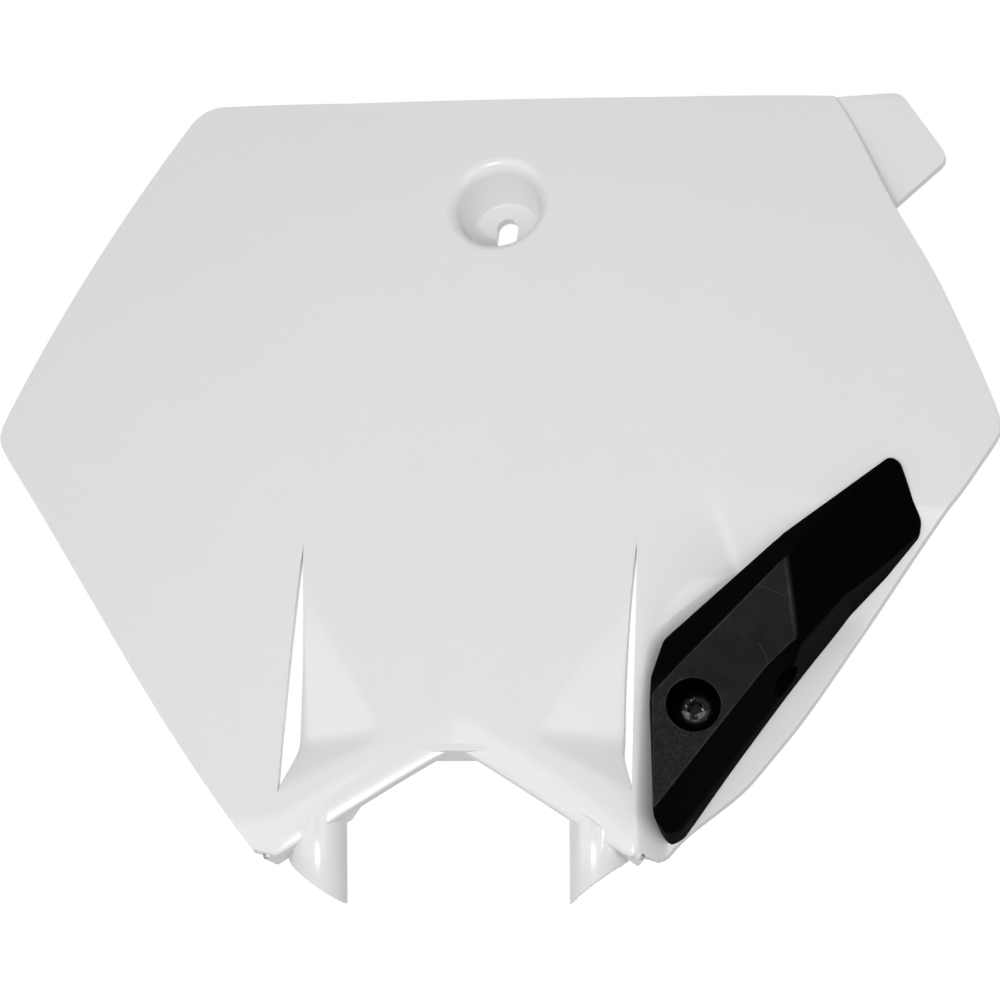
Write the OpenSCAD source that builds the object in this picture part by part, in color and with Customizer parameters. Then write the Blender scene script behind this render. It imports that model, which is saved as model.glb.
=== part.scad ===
// Racing number board for the front of a motocross bike, with the clamp cover
// that holds the brake hose at its lower corner and the screw of that cover.
// Three pieces: one white moulding, one black moulding and one screw.
// Plate axes while modelling: X to the right seen from the front, Y back
// through the board, Z up along the board. At the end everything is leaned
// back by the rake and set on the seat of the upper fixing.

/* [Board] */
// Width of the board across its two side corners
board_w = 300.8; // [270:0.2:330]
// Height of the side corners, from the upper fixing
side_z = -64.6; // [-75:1:-55]
// Width of the top edge
top_w = 191; // [160:1:220]
// Height of the top edge at the middle
top_z = 35.2; // [30:0.2:45]
// Rise of the top edge at its corners
top_rise = 3.5; // [0:0.5:8]
// Outward bow of the upper side edges
upper_bow = 2.6; // [0:0.1:6]
// Outward bow of the lower side edges
lower_bow = 2.7; // [0:0.1:5]
// Width between the two lower corners
foot_w = 116; // [110:1:128]
// Height of the lower corners
foot_z = -195; // [-205:1:-190]
// How far the ends of the lower corners reach below them
foot_low = 3; // [2:0.5:5]
// Softness of the lower corners
foot_soft = 1.4; // [0.5:0.1:3]
// Wall of the moulding
wall = 2.5; // [2:0.1:3.5]
// Radius of the face from side to side
curve_x = 575; // [400:5:900]
// Radius of the face from top to bottom
curve_z = 900; // [600:10:1500]
// Softness of the side corners
corner_soft = 2.2; // [1:0.1:4]
// Radius of the upper left corner
top_corner_r = 5; // [2:0.5:9]

/* [Lower edge] */
// Height of the point of the V
vee_z = -165.6; // [-170:0.1:-160]
// Slope of the arms of the V
vee_slope = 0.61; // [0.45:0.01:0.7]
// Rounding of the point of the V
vee_round = 1.7; // [0.5:0.1:4]
// Height of the rolled lip along the V
lip_h = 11; // [6:0.5:14]
// How far the lip rolls back at its edge
lip_drop = 2; // [0.5:0.1:3.5]
// Half of the width of the return behind the point
return_x = 13; // [8:0.5:18]
// Depth of the return behind the face
return_d = 9; // [5:0.5:14]
// Thickness of the returns and shelves
return_t = 2.2; // [1.5:0.1:3]

/* [Louvres] */
// Half of the distance between the upper ends of the slots
slot_x = 48.9; // [44:0.1:52]
// Height of the upper ends of the slots
slot_top = -107; // [-115:1:-98]
// Height of the lower ends of the slots
slot_foot = -180; // [-183:0.5:-172]
// Widest gap of a slot
slot_gap = 3.75; // [1.5:0.1:5]
// Outward lean of the slots over their length
slot_lean = 2.6; // [0:0.1:4]
// Half of the width between the inner ends of the scoops
scoop_x = 17.4; // [12:0.2:24]
// Height of the inner ends of the scoops
scoop_z = -163.8; // [-166:0.2:-158]
// Slope of the scoop face
scoop_slope = 0.295; // [0.15:0.005:0.4]
// Slope of the valley wall under the scoop
valley_slope = 0.53; // [0.4:0.01:0.8]
// How far the lower end of the valley lies outside the top of the slot
valley_shift = 1.1; // [0:0.1:2]
// Softness of the creases
crease = 6; // [2:0.5:10]
// Softness of the ridge between the scoop and the valley
ridge_soft = 0.35; // [0.1:0.05:1]

/* [Upper fixing] */
// Radius of the cup at its mouth, inside the rounding
cup_mouth_r = 12.2; // [10:0.1:15]
// Radius of the floor of the cup
cup_floor_r = 9; // [8:0.1:11]
// Depth of the cup
cup_depth = 14.5; // [10:0.5:20]
// How far the floor of the cup lies below its mouth
cup_drop = 2.4; // [0:0.1:4]
// Rounding of the mouth
cup_round = 4.5; // [2.6:0.1:5]
// Thickness of the floor of the cup
cup_floor_t = 3; // [2:0.1:5]
// Rounding between the wall and the floor of the cup
cup_corner = 1.1; // [0.5:0.1:2]
// Width of the slotted hole
fix_w = 6.3; // [5.5:0.1:8]
// Length of the slotted hole
fix_len = 10; // [8.5:0.1:13]

/* [Tab] */
// Reach of the tab past the corner of the top edge
tab_x = 33.5; // [26:0.5:42]
// Rise of the tab's upper corner over the corner of the top edge
tab_rise = 3; // [1:0.1:5]
// Width of the slanted end of the tab
tab_slant = 15; // [10:0.5:20]
// How far the tab's lower corner lies under the corner of the top edge
tab_side = 16.6; // [12:0.5:22]
// Rounding of the corners of the tab
tab_corner_r = 3.8; // [2:0.1:6]
// Depth of the step at the top edge
tab_step_top = 1.2; // [0.6:0.1:2]
// Depth of the step at the notch
tab_step_foot = 4.5; // [3:0.1:7]
// Height of the notch under the tab
tab_foot_z = 5.6; // [-4:0.1:10]
// How far the right edge of the board draws in at the notch
notch_in = 1.5; // [0:0.1:3]
// Length over which it draws in, to each side of the notch
notch_len = 28; // [20:1:32]

/* [Lugs] */
// Distance of each lug from the middle
lug_x = 40.9; // [38:0.1:44]
// Outer radius of the half-round lugs
lug_r = 8.5; // [7:0.1:10]
// Wall of the lugs
lug_t = 2.2; // [1.6:0.1:3]
// Length of the inner side of a lug under the lower edge
lug_len = 17.5; // [13:0.5:26]
// Angle of the cut across the ends of the lugs
lug_cut = 36; // [20:1:45]
// How far the lug axis lies behind the face
lug_back = 10.5; // [10:0.1:16]
// How far a shelf reaches past the sides of its lug
shelf_reach = 5.5; // [3:0.5:6.5]
// How far the back of a shelf rises over its front
shelf_rise = 3.2; // [2:0.1:5]

/* [Hose pocket] */
// Side of the pocket next to the slot
pocket_x = 52.5; // [51:0.1:56]
// Height where the pocket starts
pocket_z = -88; // [-96:1:-80]
// Depth of the pocket under the cover
pocket_d = 10; // [7:0.1:13]
// Width over which the side of the pocket falls, where it is widest
pocket_w = 25.5; // [20:0.5:30]
// Length from the top of the pocket to the foot of its falling side
pocket_len = 52; // [45:1:60]
// Softness at the top of the ramp
ramp_soft = 3; // [1:0.5:6]
// Slope of the ramp into the pocket
pocket_ramp = 0.3; // [0.2:0.01:0.45]
// Extra width of the board beside the upper end of the pocket
pocket_flare = 2.6; // [0:0.1:5]
// Further extra width beside its lower end
pocket_spread = 2.5; // [0:0.1:4]

/* [Hose cover] */
// Sideways place of the lower tip of the cover
cover_x = 60; // [58:0.1:62]
// Height of the lower tip of the cover
cover_z = -189; // [-191:0.1:-187]
// Length of the cover
cover_len = 119; // [110:0.5:122]
// Width of the cover
cover_w = 36; // [33:0.5:38]
// Lean of the cover's long side, from level
cover_turn = 55; // [52:0.5:57]
// Wall of the cover
cover_wall = 2; // [1.5:0.1:2.4]
// Rounding of the outer edges of the cover
cover_round = 1; // [0.4:0.1:1.5]
// Softness of the edges of the raised facet
facet_soft = 0.5; // [0.2:0.1:1]
// Height of the raised facet over the face of the board
cover_h = 8; // [6:0.1:12]
// Gap between the cover and the board
cover_gap = 0.3; // [0.1:0.05:0.6]
// Radius of the way for the hose through the cover
hose_r = 3.5; // [3:0.1:3.8]
// Sideways place of the upper end of that way
hose_x = 88.5; // [86:0.1:91]
// How far the upper end of that way lies under the top of the pocket
hose_drop = 12; // [10:0.5:14]
// Length of that way
hose_len = 48; // [44:1:52]
// Sideways slant of that way over its length
hose_slant = 4.5; // [2:0.1:6]
// Depth of its middle under the face at its upper end
hose_in = 0.8; // [0:0.1:1.5]
// Depth of its middle under the face at its lower end
hose_out = 3.2; // [2:0.1:4]
// Wall of the sleeve round its lower end
sleeve_t = 1.2; // [0.8:0.1:1.6]

/* [Cover screw] */
// Sideways place of the screw
screw_x = 69.1; // [66:0.1:74]
// Height of the screw
screw_z = -156.5; // [-162:0.1:-150]
// Radius of the screw shank
screw_r = 2.5; // [1.5:0.1:3]
// Length of the shank under the head
screw_len = 14; // [10:0.5:17]
// Radius of the screw head
head_r = 5; // [4:0.1:6]
// Height of the screw head
head_h = 3.2; // [2:0.1:4]
// Radius of the sunk hole round the head
sink_r = 7.6; // [6.4:0.1:8]
// Radius of the boss on the board
boss_r = 5; // [4:0.1:6.5]
// How far the end of the boss lies under the line of the face
boss_low = 1; // [0.5:0.1:2]
// How far the boss stands out behind the board
boss_tail = 2.5; // [1:0.1:4]
// Thickness of the cover under the screw head
seat_t = 2.8; // [2:0.1:3.5]
// Length of the point of the screw
screw_tip = 3; // [1:0.5:5]
// Clearance of the shank in its holes
screw_gap = 0.15; // [0.05:0.01:0.4]

/* [Placing] */
// Lean of the board on the bike
rake = 26; // [15:0.5:35]

/* [Hidden] */
$fn = 48;

// Overlap of forms that are joined, and reach of cuts past what they cut
bite = 1;
// Reach of large cuts, past any part
far = 80;
side_x = board_w / 2;
top_x = top_w / 2;
foot_x = foot_w / 2;

// Smooth helpers
function clamp(v, a, b) = min(max(v, a), b);
function ramp(d, c) = d <= 0 ? 0 : d < c ? d * d / (2 * c) : d - c / 2;
function smin(a, b, k) = min(a, b) - k * ln(1 + exp(-abs(a - b) / k));
function ease(u) = u <= 0 ? 0 : u >= 1 ? 1 : u * u * (3 - 2 * u);
function mix(a, b, u) = a + (b - a) * u;

// Outline
function vee(x) = vee_z - sqrt(pow(vee_slope * x, 2) + pow(vee_round, 2));
function foot(x) = -smin(-vee(x), -foot_z + foot_low, foot_soft);
function top(x) = top_z + top_rise * pow(x / top_x, 2);
corner_z = top(top_x);
up_k = (side_x - top_x) / (corner_z - side_z);
lo_k = (side_x - foot_x) / (side_z - foot_z);
function bowed(u, bow) = 4 * bow * u * (1 - u);
function up_edge(z) =
    top_x + (corner_z - z) * up_k
    + bowed(clamp((corner_z - z) / (corner_z - side_z), -0.1, 1.2), upper_bow);
function lo_edge(z) =
    side_x - (side_z - z) * lo_k
    + bowed(pow(clamp((side_z - z) / (side_z - foot_z), 0, 1), 2), lower_bow);
function edge(z) = smin(up_edge(z), lo_edge(z), corner_soft);
function low_share(z) = (side_z - z) / (side_z - foot_z);
function flare(z) =
    let (u = low_share(z))
    (pocket_flare * ease(u / 0.184) + pocket_spread * ease((u - 0.41) / 0.307))
    * (1 - ease((u - 0.808) / 0.153));
function draw_in(z) = notch_in * ease(1 - abs(z - tab_foot_z) / notch_len);
function edge_right(z) = edge(z) + flare(z) - draw_in(z);
function round_in(z) =
    let (q = clamp((z - corner_z + top_corner_r) / top_corner_r, 0, 1))
    top_corner_r * (1 - sqrt(1 - q * q));
function edge_left(z) = edge(z) - round_in(z);

// Slots between the side panels and the middle
function slot_u(z) = clamp((slot_top - z) / (slot_top - slot_foot), 0, 1);
function slot_out(z) = slot_x + slot_lean * pow(slot_u(z), 0.7);
function slot_open(z) =
    let (u = slot_u(z))
    slot_gap * min(1 - pow(1 - clamp(u / 0.8, 0, 1), 2), ease((1 - u) / 0.19));
function slot_in(z) = slot_out(z) - slot_open(z);

// Scoop and valley, with their creases as lines in the plate
sc_a = [slot_x, slot_top];
sc_b = [scoop_x, scoop_z];
sc_d = [slot_x + valley_shift, slot_foot];
function unit(v) = v / norm(v);
function side_of(a, b, p) =
    let (d = unit(b - a))
    (p[0] - a[0]) * -d[1] + (p[1] - a[1]) * d[0];
function scoop(x, z) =
    let (p = [abs(x), z])
    let (a = scoop_slope * ramp(side_of(sc_b, sc_a, p) * -1, crease))
    let (b = valley_slope * ramp(side_of(sc_b, sc_d, p), crease / 2))
    a <= 0 || b <= 0 ? 0 : max(0, smin(a, b, ridge_soft));
function lip(x, z) =
    let (d = (z - foot(x)) / sqrt(1 + vee_slope * vee_slope))
    d >= lip_h ? 0 : lip_drop * pow(1 - d / lip_h, 2);

// Pocket for the hose, with its ramp and its side
function pocket_side(z) =
    let (u = (pocket_z - z) / pocket_len)
    pocket_x + pocket_w * (u < 0.5
        ? mix(0.69, 1, clamp((u - 0.04) / 0.46, 0, 1))
        : mix(1, 0.29, ease((u - 0.5) / 0.5)));
function pocket(x, z) =
    x <= pocket_x ? 0
    : let (r = smin(pocket_ramp * ramp(pocket_z - z, ramp_soft), pocket_d, ramp_soft / 4))
      let (u = (x - pocket_x) / (pocket_side(z) - pocket_x))
      max(0, r) * (u >= 1 ? 1 : pow(max(u, 0), 1.6));

function base(x, z) = x * x / (2 * curve_x) + z * z / (2 * curve_z);
function face_in(x, z) = base(x, z) + scoop(x, z) + lip(x, z);
function face_out(x, z) = base(x, z) + lip(x, z) + pocket(x, z);

// Rows of the surface, from the top edge to the lower edge
function span(a, b, n) = [for (i = [0:n - 1]) a + (b - a) * i / n];
top_row = top(slot_x);
foot_row = foot(slot_out(slot_foot));
// Points between the marks, and the height of the closer rows at the side corner
row_counts = [3, 7, 5, 3, 18, 4];
row_band = 8;
marks = [top_row, top_row - top_corner_r, side_z + row_band, side_z - row_band,
    slot_top, slot_foot, foot_row];
rows = concat(
    [for (k = [0:5]) each span(marks[k], marks[k + 1], row_counts[k])],
    [foot_row]
);
n_rows = len(rows);
slot_a = row_counts[0] + row_counts[1] + row_counts[2] + row_counts[3];
slot_b = slot_a + row_counts[4];
n_in = 24;
n_out = 9;
function row_v(j) = (top_row - rows[j]) / (top_row - foot_row);

function mid_point(i, j) =
    let (s = 2 * i / n_in - 1)
    let (x = s * slot_in(rows[j]))
    let (z = mix(top(x), foot(x), row_v(j)))
    [x, z];
function side_point(i, j, right) =
    let (s = pow(i / n_out, 1.25))
    let (zc = rows[j])
    let (zs = mix(corner_z, foot_z, row_v(j)))
    let (e = right ? edge_right(zs) : edge_left(zs))
    let (x0 = slot_out(zc))
    let (x = mix(x0, e, s))
    [x, mix(zc, zs, s)];

// Points: the middle, then the left side, then the right side, front and back
pts_mid = [for (j = [0:n_rows - 1]) for (i = [0:n_in])
    let (p = mid_point(i, j)) [p[0], face_in(p[0], p[1]), p[1]]];
pts_left = [for (j = [0:n_rows - 1]) for (i = [0:n_out])
    let (p = side_point(i, j, false)) [-p[0], face_out(-p[0], p[1]), p[1]]];
pts_right = [for (j = [0:n_rows - 1]) for (i = [0:n_out])
    let (p = side_point(i, j, true)) [p[0], face_out(p[0], p[1]), p[1]]];
front = concat(pts_mid, pts_left, pts_right);
n_pts = len(front);
n_mid = len(pts_mid);
n_side = len(pts_left);
back = [for (p = front) [p[0], p[1] + wall, p[2]]];

// Where a slot is closed, the side uses the points of the middle
function at_mid(i, j) = j * (n_in + 1) + i;
function closed(j) = j <= slot_a || j >= slot_b;
function at_left(i, j) =
    i == 0 && closed(j) ? at_mid(0, j) : n_mid + j * (n_out + 1) + i;
function at_right(i, j) =
    i == 0 && closed(j) ? at_mid(n_in, j)
    : n_mid + n_side + j * (n_out + 1) + i;

function quad(a, b, c, d) = [[a, b, c], [a, c, d]];
function both(q) = [for (t = q) each [t, [t[2] + n_pts, t[1] + n_pts, t[0] + n_pts]]];
function rim(a, b) = [[a, b + n_pts, b], [a, a + n_pts, b + n_pts]];

skin = [for (j = [0:n_rows - 2]) each concat(
    [for (i = [0:n_in - 1]) each both(quad(
        at_mid(i, j), at_mid(i + 1, j), at_mid(i + 1, j + 1), at_mid(i, j + 1)))],
    [for (i = [0:n_out - 1]) each both(quad(
        at_left(i + 1, j), at_left(i, j), at_left(i, j + 1), at_left(i + 1, j + 1)))],
    [for (i = [0:n_out - 1]) each both(quad(
        at_right(i, j), at_right(i + 1, j), at_right(i + 1, j + 1), at_right(i, j + 1)))]
)];
last = n_rows - 1;
ring = concat(
    [for (i = [0:n_in - 1]) each rim(at_mid(i, 0), at_mid(i + 1, 0))],
    [for (i = [0:n_out - 1]) each rim(at_right(i, 0), at_right(i + 1, 0))],
    [for (j = [0:last - 1]) each rim(at_right(n_out, j), at_right(n_out, j + 1))],
    [for (i = [0:n_out - 1]) each rim(at_right(i + 1, last), at_right(i, last))],
    [for (i = [0:n_in - 1]) each rim(at_mid(i + 1, last), at_mid(i, last))],
    [for (i = [0:n_out - 1]) each rim(at_left(i, last), at_left(i + 1, last))],
    [for (j = [0:last - 1]) each rim(at_left(n_out, j + 1), at_left(n_out, j))],
    [for (i = [0:n_out - 1]) each rim(at_left(i + 1, 0), at_left(i, 0))]
);
slits = [for (j = [slot_a:slot_b - 1]) each concat(
    rim(at_mid(n_in, j), at_mid(n_in, j + 1)),
    rim(at_right(0, j + 1), at_right(0, j)),
    rim(at_mid(0, j + 1), at_mid(0, j)),
    rim(at_left(0, j), at_left(0, j + 1))
)];

module shell() {
    polyhedron(points = concat(front, back), faces = concat(skin, ring, slits));
}

// Turns a piece drawn along Z so that it runs back through the board
module back_at(x, z, y = 0) {
    translate([x, y, z]) rotate([-90, 0, 0]) children();
}

// Upper fixing: a drafted cup with a slotted hole in its floor, which lies
// a little lower than the mouth
seat_y = cup_depth + cup_floor_t;
function circle_at(r, y) = [for (a = [0:10:350])
    [r * cos(a), y, -r * sin(a) - cup_drop * clamp(y / cup_depth, 0, 1)]];
function fillet(r, y, q, a) = circle_at(r + q * (1 - cos(a)), y + q * (1 - sin(a)));
module cup_body() {
    q = cup_round - wall;
    loft(concat(
        [circle_at(cup_mouth_r + cup_round, wall / 2)],
        [for (a = [90:-30:0]) fillet(cup_mouth_r + wall, wall, q, a)],
        [circle_at(cup_floor_r + wall, seat_y - bite)]
    ));
    back_at(0, -cup_drop, cup_depth - bite)
        cylinder(r = cup_floor_r + wall - bite / 2, h = cup_floor_t + bite);
}
module cup_hollow() {
    loft(concat(
        [circle_at(cup_mouth_r + cup_round, -cup_round)],
        [for (a = [90:-18:0]) fillet(cup_mouth_r, 0, cup_round, a)],
        [for (a = [0:30:90])
            circle_at(cup_floor_r + cup_corner * cos(a), cup_depth - cup_corner * (1 - sin(a)))]
    ));
}
module fixing_slot() {
    d = (fix_len - fix_w) / 2;
    deep = cup_floor_t + 2 * bite;
    for (s = [-1, 1])
        back_at(0, s * d - cup_drop, cup_depth - bite) cylinder(r = fix_w / 2, h = deep);
    translate([-fix_w / 2, cup_depth - bite, -d - cup_drop]) cube([fix_w, deep, 2 * d]);
}

// Joins a row of like sections into one closed solid, with a fan at each end
module loft(sections) {
    n = len(sections[0]);
    m = len(sections);
    polyhedron(
        points = [for (s = sections) each s],
        faces = concat(
            [for (i = [1:n - 2]) [0, i, i + 1]],
            [for (i = [1:n - 2]) let (k = (m - 1) * n) [k, k + i + 1, k + i]],
            [for (j = [0:m - 2]) for (i = [0:n - 1])
                let (a = j * n + i, b = j * n + (i + 1) % n)
                each [[a, a + n, b + n], [a, b + n, b]]]
        )
    );
}
// Outline with rounded corners, each corner given as [x, z, radius]
function turned(c, i) =
    let (n = len(c))
    let (p = [c[i][0], c[i][1]])
    let (u = unit([c[(i + n - 1) % n][0], c[(i + n - 1) % n][1]] - p))
    let (v = unit([c[(i + 1) % n][0], c[(i + 1) % n][1]] - p))
    let (half = acos(clamp(u * v, -1, 1)) / 2)
    let (r = c[i][2])
    r <= 0 ? [p]
    : let (o = p + unit(u + v) * r / sin(half))
      let (a = p + u * r / tan(half) - o)
      let (b = p + v * r / tan(half) - o)
      [for (k = [0:5]) o + r * unit(a * (1 - k / 5) + b * k / 5)];
function rounded(c) = [for (i = [0:len(c) - 1]) each turned(c, i)];

// Tab behind the upper right edge, joined by the wall of the step
tab_tip = top_x + tab_x;
function tab_step(z) =
    mix(tab_step_top, tab_step_foot, clamp((corner_z - z) / (corner_z - tab_foot_z), 0, 1));
function on_tab(p, off) = [p[0], base(p[0], p[1]) + tab_step(p[1]) + off, p[1]];
tab_outline = rounded([
    [top_x - 4 * bite, corner_z - bite, 0],
    [top_x + bite, top(top_x + bite), 0],
    [tab_tip - tab_slant, corner_z + tab_rise, tab_corner_r],
    [tab_tip, corner_z - tab_side, tab_corner_r],
    [edge_right(tab_foot_z), tab_foot_z - bite / 2, 0],
    [edge_right(tab_foot_z) - 3 * bite, tab_foot_z + bite / 2, 0]
]);
module tab() {
    loft([
        [for (p = tab_outline) on_tab(p, 0)],
        [for (p = tab_outline) on_tab(p, wall)]
    ]);
    loft([for (u = [0:0.125:1])
        let (z = mix(corner_z - bite / 2, tab_foot_z - bite / 2, u))
        let (x = edge_right(z) - 0.02 * wall)
        let (y = base(x, z))
        let (near = y + wall / 4, low = y + tab_step(z) + 0.9 * wall)
        [[x, near, z], [x - 0.9 * wall, near, z], [x - 0.9 * wall, low, z], [x, low, z]]
    ]);
}

// Return behind the point of the V
module apex_return() {
    y0 = base(0, vee_z) + wall / 2;
    y1 = base(0, vee_z) + return_d;
    zb = vee_z - vee_round - 0.3 * return_t;
    half = [[1, y0], [0.92, y1 - 0.39 * return_d], [0.69, y1 - 0.09 * return_d], [0.46, y1]];
    translate([0, 0, zb]) linear_extrude(return_t) polygon(concat(
        [for (p = half) [p[0] * return_x, p[1]]],
        [for (k = [3:-1:0]) [-half[k][0] * return_x, half[k][1]]]
    ));
}

// Shelf behind the lip, over one lug
module shelf_point(x, dz, off) {
    z = foot(x) + return_t / 2 + dz;
    translate([x, base(x, z) + off, z]) sphere(r = return_t / 2, $fn = 16);
}
module shelf() {
    x0 = lug_x - lug_r;
    x1 = lug_x + lug_r;
    deep = lug_back + 0.7 * return_t;
    low = shelf_rise / 10;
    hull() {
        shelf_point(x0 - shelf_reach, low, wall + 0.3 * return_t);
        shelf_point(x1 + 0.9 * shelf_reach, low, wall + 0.4 * return_t);
        shelf_point(x1 + 0.55 * shelf_reach, low, 0.8 * lug_back);
        shelf_point(x1, shelf_rise, deep);
        shelf_point(x0, 0.75 * shelf_rise, deep);
    }
}

// Half-round lug that hangs straight down when the board leans on the bike
lug_z = foot(lug_x) + 0.4 * return_t;
module lug() {
    y0 = base(lug_x, lug_z) + lug_back;
    w = 1.4 * lug_r;
    intersection() {
        translate([lug_x, y0, lug_z]) rotate([rake, 0, 0]) difference() {
            translate([0, 0, -lug_len]) cylinder(r = lug_r, h = lug_len + 2 * lug_r);
            translate([0, 0, -far]) cylinder(r = lug_r - lug_t, h = 2 * far);
            translate([-far / 2, 0, -far]) cube([far, far, 2 * far]);
            translate([-lug_r, 0, -lug_len]) rotate([0, -lug_cut, 0])
                translate([-far / 2, -far / 2, -far]) cube([2 * far, far, far]);
        }
        translate([0, far, 0]) rotate([90, 0, 0]) linear_extrude(far) polygon([
            [lug_x - w, foot(lug_x) + vee_slope * w + shelf_rise],
            [lug_x + w, foot(lug_x) - vee_slope * w + shelf_rise],
            [lug_x + w, lug_z - far], [lug_x - w, lug_z - far]
        ]);
    }
}

// Boss in the pocket for the screw of the cover
screw_face = base(screw_x, screw_z);
boss_y = screw_face + boss_low;
boss_end = screw_face + pocket_d + wall + boss_tail;
head_seat = boss_y - seat_t;
module boss() {
    back_at(screw_x, screw_z, boss_y) cylinder(r = boss_r, h = boss_end - boss_y);
}
module boss_bore() {
    deep = head_seat + screw_len + bite;
    back_at(screw_x, screw_z, boss_y - bite)
        cylinder(r = screw_r + screw_gap, h = deep - boss_y + bite);
}

// Leans the piece as it sits on the bike, with the seat of the fixing at the origin
module place() {
    rotate([-rake, 0, 0]) translate([0, -seat_y, cup_drop]) children();
}

module board() {
    color("white") place() difference() {
        union() {
            shell();
            cup_body();
            tab();
            apex_return();
            boss();
            for (m = [0, 1]) mirror([m, 0, 0]) {
                shelf();
                lug();
            }
        }
        cup_hollow();
        fixing_slot();
        boss_bore();
    }
}

// Cover: the rim as shares of its length and width from the lower tip, then the
// height of the upper end of its wall, as a share of the pocket's depth behind the
// face or of the facet's height before it, then the place along the facet's edge
rim_shares = [
    [1.056, 0.437, -0.26, 0.0], [1.061, 0.359, -0.2, 0.1], [0.979, -0.05, 0.02, 0.8],
    [0.948, -0.106, 0.06, 0.88], [0.827, -0.079, -0.12, 0.94], [0.701, -0.022, -0.44, 0.97],
    [0.545, -0.027, -0.69, 1.0], [0.468, -0.033, 0.4, 1.4], [0.415, -0.039, 0.6, 2.0],
    [0.226, -0.064, 0.6, 2.42], [0.082, -0.088, 0.5, 2.8], [0.032, -0.096, 0.4, 2.92],
    [0.001, -0.045, 0.2, 2.97], [0.004, 0.056, -0.38, 3.0], [0.21, 0.608, -0.75, 4.0],
    [0.266, 0.752, -0.5, 4.1], [0.358, 0.876, -0.28, 4.25], [0.742, 0.68, -0.28, 4.95]
];
// Corners of the raised facet, as shares in the same way
facet_shares = [
    [0.678, 0.474], [0.54, 0.026], [0.447, 0.062], [0.011, 0.049], [0.23, 0.61]
];
// Slopes of the raised facet, sideways and along the board
facet_x = 0.175;
facet_z = -0.185;

function on_cover(p) = [
    cover_x + p[0] * cover_len * cos(cover_turn) - p[1] * cover_w * sin(cover_turn),
    cover_z + p[0] * cover_len * sin(cover_turn) + p[1] * cover_w * cos(cover_turn)
];
rim_plan = [for (p = rim_shares) on_cover(p)];
rim_high = [for (p = rim_shares) p[2] * (p[2] > 0 ? pocket_d : cover_h)];
rim_at = [for (p = rim_shares) p[3]];
facet_plan = [for (p = facet_shares) on_cover(p)];
facet_corner = facet_plan[4];
function facet_y(p) =
    base(facet_corner[0], facet_corner[1]) - cover_h
    + facet_x * (p[0] - facet_corner[0]) + facet_z * (p[1] - facet_corner[1]);

// Moves the sides of a closed outline inwards; the outline runs clockwise
function side_normal(c, i) =
    let (n = len(c), d = unit(c[(i + 1) % n] - c[i % n])) [d[1], -d[0]];
function inset(c, m) = [for (i = [0:len(c) - 1])
    let (a = side_normal(c, i + len(c) - 1), b = side_normal(c, i))
    c[i] + (a + b) * m / (1 + a * b)];
function along(c, k) =
    let (i = floor(k)) mix(c[i % len(c)], c[(i + 1) % len(c)], k - i);
function toward(a, b, d) = a + unit(b - a) * d;

// One closed form, moved in by m, with its edges rounded where soft is true
module cover_form(m, soft) {
    plan = inset(rim_plan, m);
    facet = inset(facet_plan, m);
    small = inset(facet_plan, m + facet_soft);
    n = len(plan);
    edge = [for (i = [0:n - 1]) let (p = plan[i])
        [p[0], base(p[0], p[1]) + rim_high[i] + m, p[1]]];
    deep = [for (p = edge) [p[0], screw_face + 2 * pocket_d + cover_h, p[2]]];
    brow = [for (k = rim_at) let (p = along(facet, k)) [p[0], facet_y(p) + m, p[1]]];
    crown = [for (k = rim_at) let (p = along(small, k)) [p[0], facet_y(p) + m, p[1]]];
    loft(soft ? concat([
        crown,
        [for (i = [0:n - 1]) toward(brow[i], edge[i], facet_soft)],
        [for (i = [0:n - 1]) toward(edge[i], brow[i], cover_round)],
        [for (i = [0:n - 1]) let (p = edge[i], q = toward(p, brow[i], cover_round))
            p / 2 + (p + [0, cover_round, 0]) / 4 + q / 4],
        [for (p = edge) p + [0, cover_round, 0]],
        deep
    ]) : [brow, edge, deep]);
}
// The right side of the board as a block grown by the gap, to fit the cover to it
block_row = row_counts[0] + 4;
function block_point(i, j) =
    let (p = side_point(min(i, n_out), min(j, last), true))
    let (y = face_out(p[0], p[1]) - cover_gap)
    [p[0] + (i > n_out ? far / 4 : 0), y, p[1] - (j > last ? far / 4 : 0)];
module board_block() {
    n = n_out + 2;
    m = last + 2 - block_row;
    p = [for (j = [block_row:last + 1]) for (i = [0:n - 1]) block_point(i, j)];
    q = [for (t = p) [t[0], far, t[2]]];
    k = n * m;
    polyhedron(points = concat(p, q), faces = concat(
        [for (j = [0:m - 2]) for (i = [0:n - 2]) let (a = j * n + i)
            each quad(a, a + 1, a + n + 1, a + n)],
        [for (j = [0:m - 2]) for (i = [0:n - 2]) let (a = k + j * n + i)
            each quad(a, a + n, a + n + 1, a + 1)],
        [for (i = [0:n - 2]) each quad(i + 1, i, k + i, k + i + 1)],
        [for (i = [0:n - 2]) let (a = (m - 1) * n + i) each quad(a, a + 1, k + a + 1, k + a)],
        [for (j = [0:m - 2]) let (a = j * n) each quad(a, a + n, k + a + n, k + a)],
        [for (j = [0:m - 2]) let (a = j * n + n - 1) each quad(a + n, a, k + a, k + a + n)]
    ));
}
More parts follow.
